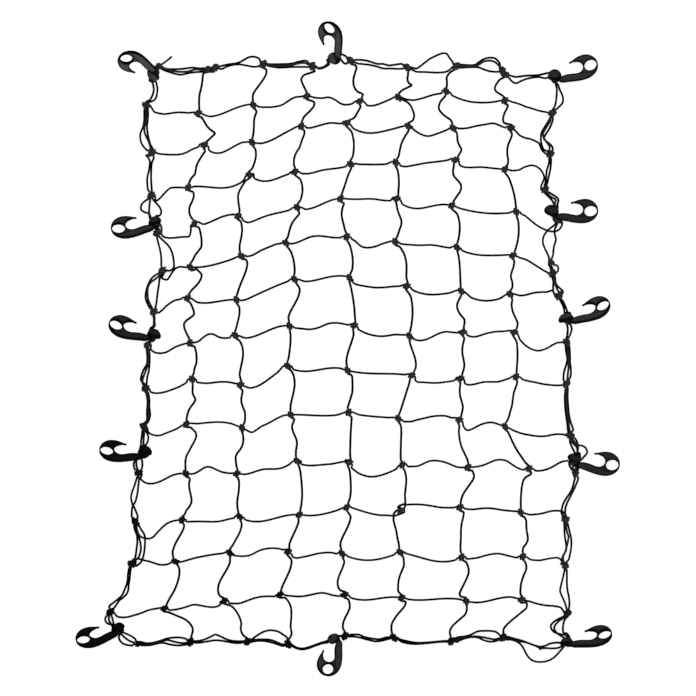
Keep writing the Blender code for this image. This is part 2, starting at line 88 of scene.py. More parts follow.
# Cross cords from the top: x and y of the left border knot, the seven crossings and the right
# border knot, then the eight strands. A pair is how far a strand sways up the net at its thirds,
# and a list holds points that it passes.
rows = (
    ((-323, -240, -152, -66, 19, 80, 157, 251, 326.5),
     (390, 377, 390, 404, 396, 402, 412, 397, 377), (
        [(-310, 379), (-301, 376.5), (-293, 375.5), (-281, 377.5), (-269, 378.5), (-257, 377.5)],
        (-8, -1),
        [(-143.5, 387.3), (-134, 386.7), (-120, 387), (-107.5, 389.5), (-100, 393.5), (-93, 398.5),
         (-84, 402.8), (-75, 403.5)],
        [(-54, 402), (-42, 401), (-31, 402.5), (-22.5, 399.5), (-12, 392.5), (-5, 390.5), (6, 392)],
        (-9, -4),
        [(88, 399.5), (97, 398), (107, 398), (120, 401.3), (138, 407), (150, 409.5)],
        (-10, -8),
        [(263, 395), (275, 391.5), (283, 388), (295, 384.5), (307, 380.5), (316, 379)],
    )),
    ((-313.5, -230, -154, -75, -2, 96, 168, 261, 323.5),
     (314.5, 326, 330, 356, 361, 356, 353, 353, 311), (
        [(-305, 312.5), (-293, 311), (-280, 310.5), (-269, 311), (-259, 314), (-248, 320), (-240, 323)],
        (-14, -3), (-7, -2),
        [(-67, 353.8), (-60, 353.5), (-50, 356), (-40, 359), (-30, 361.3), (-20, 361.2), (-10, 360.6)],
        (-14, -8),
        [(103, 352.5), (108, 348.5), (117, 343), (128, 340.2), (140, 343.2), (150, 347), (160, 351)],
        [(177, 352.5), (190, 353), (205, 356.5), (220, 359), (233, 360.8), (245, 356.5), (252, 354)],
        [(275, 341.5), (282, 338), (291, 336), (301, 332), (307, 328.5), (310, 321), (314, 315.5)],
    )),
    ((-315, -256, -158, -85, 4, 76, 172, 251, 315),
     (245.5, 258, 278, 283, 295, 298, 302, 287, 254.5), (
        [(-309, 236), (-302, 240), (-297, 245.5), (-291, 252), (-285, 257), (-278, 258), (-266, 258)],
        (-6, -13),
        [(-151, 273.5), (-142.5, 269.3), (-132, 268), (-119, 270.5), (-106, 275.5), (-94, 280.3)],
        [(-74, 280.5), (-62, 280.3), (-50, 283.5), (-40, 286), (-25, 288), (-10, 290), (-3, 292)],
        (-1, -2),
        [(84, 293), (92, 291.5), (107, 294), (125, 297.3), (144, 299.5), (160, 302)],
        [(178, 295), (183, 291.5), (192, 290), (213, 290.7), (232, 288.8), (243, 287.8)],
        [(263, 285), (275, 286.5), (282, 290.5), (290, 293), (296, 293.5), (302, 291.5), (307, 288),
         (311, 283), (313.5, 277.5), (314, 272), (312, 267), (310, 261)],
    )),
    ((-306, -246, -176, -82, -12, 78, 166, 269, 335),
     (186, 200, 212, 226, 240, 240, 229, 219, 206), (
        [(-298, 181), (-293, 178), (-283, 177), (-277, 177.5), (-270, 178.5), (-262, 179), (-257, 179),
         (-253.5, 181), (-252.5, 185.5), (-251.5, 191)],
        (-2, 4),
        [(-169, 206.5), (-165, 203.2), (-159.5, 202), (-152, 204), (-140, 209.3), (-126, 214),
         (-110, 217.8), (-95, 221.5)],
        (-6, -1),
        [(-3, 239.8), (15, 239.2), (30, 239.8), (42, 239.5), (55, 237.6), (68, 237.3)],
        (-12, -4), (-6, -6),
        [(277, 216), (284, 212.5), (291, 206.5), (299, 200), (307, 194.5), (315, 190.5), (323, 188),
         (330, 187.5), (336, 189.5), (341, 194.5), (343, 200), (342, 204)],
    )),
    ((-297, -253, -171, -100, -2, 75, 174, 264, 327),
     (125.5, 130, 148, 169, 179, 171, 162, 149, 120), (
        [(-299, 113.5), (-294.5, 111), (-289.5, 110.5), (-285.5, 116), (-281, 124), (-277, 128.5),
         (-270, 131), (-262, 130.5)],
        (-4, -3),
        [(-162, 147.8), (-153, 149.5), (-140, 157), (-128, 162), (-115, 167.3), (-107, 168.6)],
        [(-92, 167.7), (-82, 169.7), (-72, 174), (-60, 179), (-48, 180.5), (-38, 179.8), (-25, 178),
         (-12, 177.8)],
        [(6, 175.5), (12.5, 171.5), (18.5, 165.5), (24, 162.5), (32, 161.5), (44, 163.5), (55, 168),
         (65, 170.8)],
        [(84, 168), (97, 166.5), (115, 165.5), (134, 166), (150, 163.5), (163, 161.5)],
        (-7, -4),
        [(275, 145.5), (285, 142.5), (294.5, 137), (304, 131), (313.5, 125), (320, 122)],
    )),
    ((-311, -257, -179, -86, 2, 94, 181, 259, 337.5), (59, 81, 78, 111, 113, 100, 92, 87, 84), (
        [(-304, 57), (-301, 59), (-296, 63), (-292.5, 67), (-285, 73), (-277, 77.5), (-269, 79)],
        (-7, -3),
        [(-171, 77.2), (-164, 78.3), (-156, 81.8), (-140, 89.3), (-125, 96), (-110, 102.5), (-96, 108)],
        (-3, 3),
        [(7, 107), (11, 103.5), (18, 101.5), (30, 99.5), (42, 97.8), (58, 98), (72, 99.5), (84, 100.3)],
        (-10, -7), (-12, -11),
        [(275, 85), (283, 85.5), (296, 89), (307, 90.5), (318, 90.5), (328, 92.5)],
    )),
    ((-321, -253, -181, -94, 10, 98, 184, 266, 349.5), (6.5, 9, 21, 36, 37, 20, 26, 26, 11), (
        [(-317, -1.5), (-313.5, -4), (-309, -6.5), (-302, -7.5), (-293, -6.5), (-285, -2.5),
         (-277, 2.5), (-269, 5.5), (-261, 8)],
        [(-245, 9.5), (-238, 12.5), (-230, 19.5), (-222.5, 23.3), (-215, 22.7), (-206, 18),
         (-196, 16.8), (-188, 18.5)],
        (-7, 0),
        [(-86, 33.5), (-74, 32), (-60, 30.8), (-46, 34), (-32, 40), (-20, 41.3), (-8, 39.8), (1.5, 38)],
        [(16, 31.5), (22, 27.5), (35, 22.5), (50, 19.8), (63, 20.5), (75, 22.5), (87, 22)],
        [(105, 15.5), (114, 12.9), (124, 14.2), (135, 19), (146, 24.5), (156, 27), (168, 26),
         (176, 25.5)],
        [(191, 21.5), (200, 18.8), (208, 19.8), (220, 23.8), (235, 27), (250, 27.7)],
        [(275, 15), (283, 6), (291, 0.5), (296.5, -2), (305, -3.5), (314, -1.5), (321.5, 2),
         (328.5, 6.5), (335.5, 9.5), (342, 10)],
    )),
    ((-324, -250, -172, -97, -1, 102, 180, 269, 349.5),
     (-63.5, -49, -58, -28, -35, -43, -48, -45, -56.5), (
        [(-317, -69), (-315, -70), (-309, -71.5), (-301, -71), (-293, -69.5), (-283, -66),
         (-273.5, -62.5), (-265.5, -58.5), (-259, -54.5)],
        [(-241.9, -53.6), (-235.2, -54.9), (-224.5, -55.5), (-211.2, -53.9), (-199.2, -53.1),
         (-188.5, -54.1), (-179.5, -56)],
        (-13, -7), (-6, 1), (-2, 0),
        [(107.5, -50.5), (112, -53.7), (120, -53.9), (133.4, -54.9), (144, -54.9), (157.4, -53.3),
         (170.7, -50.7)],
        [(187, -55.7), (193.4, -58.1), (200, -57.6), (206.7, -56), (216, -53.6), (229.4, -53.3),
         (240, -53.3), (250.7, -50.1), (260, -46.7)],
        [(280, -49.5), (291, -52.5), (300, -54), (310.5, -56.5), (321.5, -58), (334, -59),
         (342, -58.5)],
    )),
    ((-327, -259, -170, -92, 1, 80, 178, 251, 355),
     (-125, -121, -127, -106, -102, -112, -114, -125, -138.5), (
        [(-321.5, -133.5), (-317.5, -137), (-312, -138.5), (-305.5, -139.5), (-299, -138.5),
         (-289.5, -134.5), (-280, -131), (-272, -127)],
        (4, 7),
        [(-163.2, -129.9), (-157.9, -133.1), (-153.9, -134.1), (-147.2, -130.7), (-139.2, -124.8),
         (-128.5, -120), (-117.9, -114.1), (-104.5, -107.5)],
        (-2, -4), (-2, -1),
        [(88, -116.2), (95, -117.1), (102, -116.7), (109.3, -114.4), (120, -112), (133.4, -108.8),
         (146.7, -107.5), (157.4, -108), (165.4, -110.7)],
        [(183.9, -122), (186.7, -127.5), (190.7, -130.7), (196, -130.1), (204, -125.9), (213.4, -121.3),
         (224, -118.4), (232, -118.4), (240, -120.8)],
        [(267, -132), (280, -136.5), (291, -138.5), (300, -140), (309, -140.5), (318, -140),
         (326.5, -138), (335.5, -137), (346, -137.5)],
    )),
    ((-335, -260, -178, -82, 2, 87, 192, 290, 352),
     (-199, -200, -200, -180, -182, -186, -190, -192, -179.5), (
        [(-333, -206), (-332, -209.5), (-328, -213), (-323, -215.5), (-316, -216.5), (-309, -215.5),
         (-298, -211.5), (-289.5, -207), (-280.5, -202.5), (-272, -200.5)],
        [(-252, -200.7), (-245.9, -200), (-239.2, -196.5), (-232.5, -192), (-225.9, -189.3),
         (-219.2, -190.1), (-211.2, -193.9), (-200.5, -198.1), (-188, -199.8)],
        [(-172, -201.4), (-165.9, -201.3), (-157.9, -200), (-147.2, -196.5), (-136.5, -193.3),
         (-125.9, -192.8), (-115.2, -192.8), (-104.5, -190.7), (-93.9, -185.3)],
        [(-76, -184.2), (-71.5, -186.1), (-64.5, -187.2), (-55.2, -187.2), (-40.5, -185.9),
         (-24.5, -184.5), (-13.9, -182.1), (-6, -180.8)],
        [(5.6, -191), (9.3, -193.9), (16, -199.2), (24, -202.7), (34.7, -205.3), (44, -204.8),
         (56, -201.9), (66.7, -197.9), (77.3, -192.5)],
        [(95, -188.3), (101.3, -188.8), (110.7, -188.3), (120, -184.8), (128, -180.8), (137.4, -179.2),
         (146.7, -180), (157.4, -182.7), (168, -187.2), (176, -190.1), (183, -190.3)],
        [(200, -189.8), (208, -188.8), (218.7, -186.1), (229.4, -181.3), (237.4, -178.4),
         (245.4, -177.9), (253.4, -179.5), (261.4, -184.8), (269.4, -190.1), (277, -193.3),
         (282, -194)],
        [(300, -195.5), (309, -195.5), (318, -193.5), (326.5, -190), (335.5, -184.5), (342.5, -181)],
    )),
    ((-340.5, -266, -174, -78, -2, 82, 179, 276, 348),
     (-277, -274, -269, -266, -254, -258, -254, -262, -273), (
        [(-339, -285), (-337.5, -292), (-334.5, -299), (-328, -303), (-319.5, -304.5), (-312.5, -302),
         (-308, -297.5), (-302.5, -291.5), (-294.5, -283.5), (-286, -278)],
        [(-259, -277), (-253.1, -277.1), (-241.1, -276.8), (-225.1, -277.1), (-211.7, -277.3),
         (-201, -275.7), (-190.4, -272.8), (-182.5, -271)],
        (-9, -3), (-5, -4),
        [(6, -254.5), (14, -257.5), (26, -261.3), (40, -265), (51.2, -266.8), (64, -267)],
        [(97, -249.6), (106, -249.5), (115.2, -249.6), (130, -251.3), (147, -254.3), (160, -254.8),
         (170, -254.5)],
        [(186.4, -256), (192, -257.1), (201.4, -257.6), (210.7, -256.3), (224, -255.5), (234.7, -256.5),
         (248, -258.7), (264, -260.3)],
        [(291, -266), (300, -265.5), (309, -264.5), (318, -262), (326.5, -260), (335.5, -259.5),
         (343, -261)],
    )),
    ((-347, -277, -190, -96, -10, 83, 182, 280, 347),
     (-345, -341, -327, -325, -328, -326, -334, -333, -347), (
        [(-340, -337.5), (-334, -337), (-325, -339.5), (-316, -341.5), (-305, -345.5), (-296.5, -346.5),
         (-288, -345)],
        [(-269.4, -341.9), (-262.4, -340.3), (-246.4, -335.7), (-230.4, -332.3), (-214.4, -329.6),
         (-199, -327.3)],
        [(-183, -330.8), (-176, -332.2), (-169, -332.5), (-161, -332), (-153, -329.3), (-142.4, -323.5),
         (-131.7, -320.5), (-121, -319.5), (-110.4, -320.5), (-104, -322)],
        [(-88.6, -333.4), (-83.7, -335.5), (-75.7, -334.4), (-62.4, -331.7), (-49, -328.3),
         (-35.7, -326.7), (-25, -326.9), (-17.6, -328.6)],
        (-11, -10), (-6, -10),
        [(189.4, -336.4), (197.4, -336.3), (208, -334.9), (218.7, -331.7), (232, -328.8),
         (241.4, -328.3), (253.4, -330.9), (264, -333.6), (271, -334.6)],
        [(291, -337.5), (300, -339), (309, -339), (318, -337), (326.5, -335.5), (336, -335),
         (342, -338)],
    )),
    ((-380.5, -294, -198, -109, -5, 86, 189, 278, 351.5),
     (-421, -416, -404, -394, -394, -399, -404, -402, -423.5), (
        [(-375.5, -425.5), (-369.5, -429), (-361.5, -430.5), (-353.5, -430), (-342.5, -427),
         (-332, -424), (-323, -420), (-314, -417.5), (-304, -416)],
        [(-286.4, -418.3), (-273.1, -417.4), (-259.7, -413.9), (-247.7, -410.2), (-238.4, -411),
         (-227.7, -413.1), (-217.1, -414.2), (-208.5, -412.6), (-204.2, -409)],
        [(-190.7, -406.9), (-182.4, -408.3), (-173, -407.8), (-161, -403.5), (-150.4, -399.8),
         (-139.7, -397.4), (-126.4, -396.6), (-117, -396.6)],
        [(-100.7, -394.9), (-89, -396.3), (-78.4, -397.1), (-67.7, -396), (-54.4, -393.1),
         (-43.7, -391.2), (-35.7, -391.8), (-27.7, -394.4), (-19.7, -395.8), (-12.7, -396)],
        (-7, -2), (-2, 2), (-2, 4),
        [(291, -405), (302, -408.5), (318, -411.5), (332, -412.5), (341, -415)],
    )),
)

# Long cords from the left: the knots on the top and bottom borders, then the fourteen strands,
# where a pair sways to the right.
columns = (
    ((-213, 449.5), (-252, -469.5), (
        [(-223, 444.5), (-231.5, 441), (-233, 431), (-235, 418), (-238, 406), (-238.5, 388)],
        [(-235, 371), (-230.5, 364), (-226.5, 357), (-221, 351), (-213, 344.5), (-216, 341.5),
         (-222.5, 335)],
        [(-229, 316.5), (-233.5, 309.5), (-238.5, 301.5), (-242.5, 293.5), (-244, 285.5), (-245.5, 279),
         (-251, 273), (-253.5, 268)],
        [(-248, 250.5), (-247, 244), (-249.5, 236), (-253.5, 228), (-254.5, 221), (-253, 213.5),
         (-249.5, 208)],
        [(-239, 194), (-237, 188), (-235, 178.5), (-234.5, 169), (-235, 163), (-240, 156),
         (-245, 149.5), (-248, 143)],
        [(-243, 127.5), (-240, 125), (-234.5, 118.5), (-235, 113.5), (-238.5, 106.5), (-245, 99),
         (-251, 93)],
        [(-253, 74), (-250.5, 69), (-247, 60), (-247, 54.5), (-251, 50.5), (-259, 45), (-262.5, 40),
         (-262.5, 34.5), (-259, 25), (-255, 17.5)],
        [(-246.5, 4), (-245, 1), (-243, -7), (-242.5, -17), (-243, -24), (-245.5, -29.5), (-247, -39)],
        [(-248.5, -57), (-249, -65), (-248.5, -73), (-245.5, -78.5), (-244.5, -81.5), (-246.5, -86.5),
         (-251, -92), (-255, -98.5), (-257.5, -106.5)],
        [(-252, -126), (-249, -129), (-244, -134.5), (-243, -140), (-245, -146.5), (-249.5, -154.5),
         (-254.5, -164), (-259, -172.5), (-260.5, -180), (-260.5, -188)],
        [(-254.2, -206.3), (-253.3, -210.3), (-254.7, -216), (-253.9, -225.3), (-251.4, -236.6),
         (-250.7, -245.6), (-254.4, -253.6), (-258.9, -258.9), (-261.4, -265.5)],
        [(-262.5, -282.5), (-263.5, -288.5), (-268, -297.5), (-274, -307.5), (-278.5, -317),
         (-281, -326)],
        [(-271.5, -349), (-270, -354.5), (-270.5, -365), (-273.5, -375.5), (-278.5, -388),
         (-286, -400.5)],
        [(-287, -422), (-273, -428.5), (-261, -433.5), (-253, -440.5), (-248.5, -449.5),
         (-250, -457.5)],
    )),
    ((-136, 455), (-161, -469), (
        [(-131, 447), (-131, 440), (-140, 425), (-149, 413), (-152.5, 406), (-152.5, 399)],
        [(-148.5, 384), (-146.6, 379.5), (-149, 373), (-150.5, 366), (-150.8, 352), (-152.5, 339)],
        (8, 6),
        [(-163.5, 269.5), (-169.5, 260.5), (-174.5, 251.5), (-176.3, 244), (-175.5, 234),
         (-173.8, 222)],
        [(-172.5, 205), (-170, 196.5), (-169.7, 186), (-171.5, 176), (-173.5, 166), (-173.7, 158)],
        [(-164, 143.5), (-161.3, 137), (-163.5, 124.5), (-168.5, 112), (-173, 101), (-176.8, 90)],
        (6, 3), (10, 3),
        [(-169.2, -66), (-169.2, -71), (-171, -79), (-170.7, -86.7), (-168, -94.7), (-165.3, -101.3),
         (-164.8, -110.7), (-165.6, -117.3), (-166.6, -120)],
        [(-168.3, -136.5), (-168.1, -142), (-167.7, -148), (-169.1, -154.7), (-172.5, -161.3),
         (-177.1, -166.7), (-180, -173.3), (-179.7, -180), (-178.7, -188), (-177.3, -192.6)],
        [(-175.6, -208.3), (-174.4, -214.7), (-174.7, -224), (-175.5, -232), (-177, -240.3),
         (-177.6, -249.6), (-176.4, -258.9)],
        (8, 4), (-1, -12),
        [(-186, -413), (-176, -425.5), (-171, -439.5), (-172, -449.5), (-168, -459)],
    )),
    ((-57, 452), (-96, -473), (
        [(-53, 444.5), (-62, 441), (-70.5, 438), (-75, 431.5), (-74, 427), (-69, 416)],
        (14, 2),
        [(-70.5, 350), (-70, 344), (-74, 333.5), (-78, 321.5), (-83.5, 313), (-86.5, 304),
         (-86.5, 294)],
        (10, 9),
        [(-78.3, 219), (-78.6, 215), (-83, 210), (-88.5, 203), (-92.5, 194), (-95, 184), (-97, 177)],
        (6, 5), (10, 0), (3, 2), (10, 4),
        [(-86, -112.6), (-87.2, -117.3), (-89.6, -122.7), (-89.3, -129.3), (-86.4, -137.3),
         (-83.2, -144), (-81.6, -152), (-83.3, -161.3), (-83.5, -170.3)],
        [(-78.6, -188.3), (-76.5, -196), (-75.2, -206.7), (-73.8, -222.7), (-73.6, -238.7),
         (-75.2, -252.3), (-76.4, -258.3)],
        (2, -1), (9, 4),
        [(-101.5, -398.5), (-97, -403), (-93, -409.6), (-91.2, -416.3), (-90.8, -428.3), (-92, -445.5),
         (-90.5, -457.5)],
    )),
    ((4, 461), (-4.5, -460), (
        [(11, 455), (13.5, 450), (11, 441), (8.5, 431), (9, 422), (12, 415), (17, 410.5), (21.5, 409),
         (24, 406.5), (22.5, 403)],
        [(20, 388.5), (18.5, 384), (15, 378.5), (12.5, 373), (9, 369), (5, 367)],
        (8, 7),
        [(4.5, 287), (0.5, 279), (-3, 268), (-6, 259), (-9.5, 249)],
        [(-6.5, 232.5), (-8.8, 226), (-10.3, 216), (-9.5, 208), (-7, 199), (-5, 190)],
        (6, 7), (2, 3), (0, -4),
        [(5.9, -42.6), (7, -52), (7.2, -62.7), (6.7, -70.7), (4.8, -77.3), (2.2, -85.3), (0, -92),
         (-0.6, -95)],
        [(5.5, -109.5), (5.4, -116.3), (4.8, -126.7), (4, -140), (3.5, -158.7), (3.4, -172)],
        (3, 5), (7, -2), (0, -10),
        [(0.5, -401.5), (2.2, -407), (3, -413.6), (0.3, -421.6), (-3.7, -429.1), (-8, -440),
         (-8, -448)],
    )),
    ((95, 450), (73, -462.5), (
        [(96, 438), (95, 431), (97.5, 425), (102, 422), (95, 418), (87, 414), (82.5, 410)],
        [(87, 399), (94.5, 395.5), (100, 389.5), (104, 381), (106, 373), (103.5, 365.5)],
        [(96.5, 348), (91, 339.5), (86, 330), (83, 318), (80.5, 307)],
        (4, 4),
        [(77.8, 231.5), (79, 223), (82, 214), (85.3, 206), (85.3, 199), (81.5, 188), (79, 180)],
        (10, 6), (7, 6), (3, 8), (0, 0),
        [(83.4, -120.4), (85.1, -126.7), (85.3, -134.7), (84.8, -148), (84.5, -161.3), (84.2, -169.3),
         (84.8, -178.7)],
        [(90, -194), (92.5, -202), (93.3, -210), (92.5, -222), (91, -234), (91.6, -243)],
        [(72.8, -274.4), (74, -280.5), (76.8, -289.6), (79, -303), (81.5, -314)],
        [(88.3, -333.3), (89.3, -339), (89.6, -346.9), (86.7, -354.9), (83.2, -362.9), (80.8, -372.3),
         (80, -381.6), (80.8, -389.6)],
        [(92, -404.6), (92.3, -408), (90.7, -412.3), (86.7, -417.6), (77.3, -428.3), (70, -441.5),
         (69.5, -451.5)],
    )),
    ((173, 452), (165, -468.5), (
        [(166, 444.5), (162, 441), (158, 434), (158.5, 423.5)],
        [(155, 403.5), (149, 397), (145.8, 390), (145.5, 384), (149.5, 377.5), (157, 371), (163.5, 367),
         (166.5, 362)],
        [(173.5, 347), (175, 341), (175.3, 333), (178, 325.5), (181.7, 319), (178.5, 312)],
        [(169.5, 293), (168, 284.5), (169.5, 276.5), (174.5, 270.5), (179.5, 265), (181.3, 259.5),
         (179.5, 251.5), (174.5, 244.5), (170, 237.5)],
        (9, 7), (2, 1),
        [(181, 84.5), (176, 75), (174.5, 68), (176.5, 60), (181.5, 52.5), (186.3, 46.5), (186.5, 41),
         (185.3, 34)],
        [(186, 17.5), (184, 7), (182.8, -2), (183.5, -11), (185.7, -20), (186, -30), (183, -40)],
        [(179.8, -55.5), (179, -62.7), (179, -72), (180.3, -80), (182.7, -86.7), (184, -93.3),
         (183, -100), (181.4, -106.7)],
        [(178.1, -122.3), (177.4, -132), (178.2, -141.3), (180.3, -153.3), (184, -162.7), (188, -170.7),
         (191.4, -178.7)],
        [(198, -194.6), (200.3, -198.6), (201.9, -204), (200.5, -209.3), (196, -216), (189.4, -225.3),
         (184, -233.7), (180.9, -243.3)],
        [(185.2, -262.3), (185.2, -266.3), (184, -272.3), (181.9, -280.3), (180.8, -290.9),
         (180.8, -304.3), (180, -314.9), (180.2, -323.6)],
        [(188.5, -341.6), (191.5, -346.9), (193.4, -354.9), (192.6, -361.6), (188, -372.3),
         (184, -380.3), (180.8, -386.9), (178.6, -392.3), (180.4, -397.2)],
        [(190.5, -414), (188, -425), (179, -433.5), (167, -444.5), (163, -452.5)],
    )),
    ((248, 444), (248, -462.5), (
        [(251, 435), (244, 431.5), (238, 424.5), (235, 417), (237, 412), (246, 406)],
        [(256, 390), (254.5, 385), (250, 376), (248.3, 369), (249.5, 362)],
        [(262.5, 344.5), (260.5, 336), (257, 328.5), (255, 320), (255, 311), (256.5, 301),
         (255.3, 294)],
        (4, 4), (6, 6),
        [(266, 141), (265, 131), (261.5, 121), (260.8, 114), (263, 107), (263.3, 99), (261, 94)],
        [(263, 79), (261.8, 70), (264, 58.5), (268.5, 48.5), (271.7, 41), (270.5, 34)],
        (4, 3),
        [(271, -53), (268.8, -61.3), (265.4, -70.7), (264, -80), (262.7, -90.7), (259.2, -102.7),
         (256.6, -112)],
        [(255.4, -132), (258.7, -138.7), (262.7, -148), (266.7, -156), (272, -165.3), (278.7, -174.7),
         (284, -182.7)],
        [(293.8, -198.6), (291.4, -202), (285.4, -205.3), (281.4, -209.9), (279.2, -216),
         (277.9, -225.3), (276.8, -238.7), (276.6, -252.6)],
        [(282.2, -269.3), (285.2, -275), (285.4, -282.9), (285.9, -290.9), (287.5, -298.9),
         (288, -305.6), (285.4, -312.3), (281, -318), (279.5, -325)],
        [(282.7, -340.3), (285.4, -346.9), (285.4, -353.6), (281.4, -362.9), (277.4, -374.9),
         (276, -386.9), (276.2, -393.9)],
        [(284.7, -405.6), (286.6, -409.5), (285.5, -415.5), (280, -420.5), (269, -429.5), (255, -441.5),
         (249, -449.5)],
    )),
)

# Hooks clockwise from the top left: the middle of the neck, the way to the eye, the side of the
# point, pitch and roll, then the cap's middle, width and height as seen from above, and how far
# its face is painted from black to grey, a painted sheen for how the light falls on each hook.
hooks = (
    ("hook_01", (-313.5, 441), 152, 1, 36, -28, (-311.4, 437.4, 20, 20), 0.95),
    ("hook_02", (-21, 466), 101, 1, 36, -20, (-23.7, 464, 18.6, 19.7), 1),
    ("hook_03", (337, 435), 20, 1, -4, -6, (330.4, 437.3, 21.6, 19.5), 0.41),
    ("hook_04", (334, 217), 3, 1, -4, -4, (325.3, 221, 23.7, 18.6), 0.31),
    ("hook_05", (357, 48), 22, 1, 7, -32, (348.6, 49, 24.8, 16), 0.66),
    ("hook_06", (369, -180), -7, 1, -5, 0, (362, -175, 22.7, 15.4), 0.31),
    ("hook_07", (357, -468.5), 12, 1, 7, -42, (349.8, -469, 22, 15), 0.4),
    ("hook_08", (-19.5, -467), 254, -1, 35, 0, (-23.5, -464, 19, 17), 0.57),
    ("hook_09", (-371, -450), 196, -1, 12, -38, (-368, -446.6, 22, 18), 0.01),
    ("hook_10", (-331.5, -168), 175, -1, 6, -34, (-325, -164, 23.4, 17.6), 0),
    ("hook_11", (-319, 21.5), 163, -1, 6, -30, (-310.4, 23.6, 22.7, 17), 0.25),
    ("hook_12", (-313, 199), 188, -1, 5, -24, (-309, 204, 21, 16), 0.44),
)

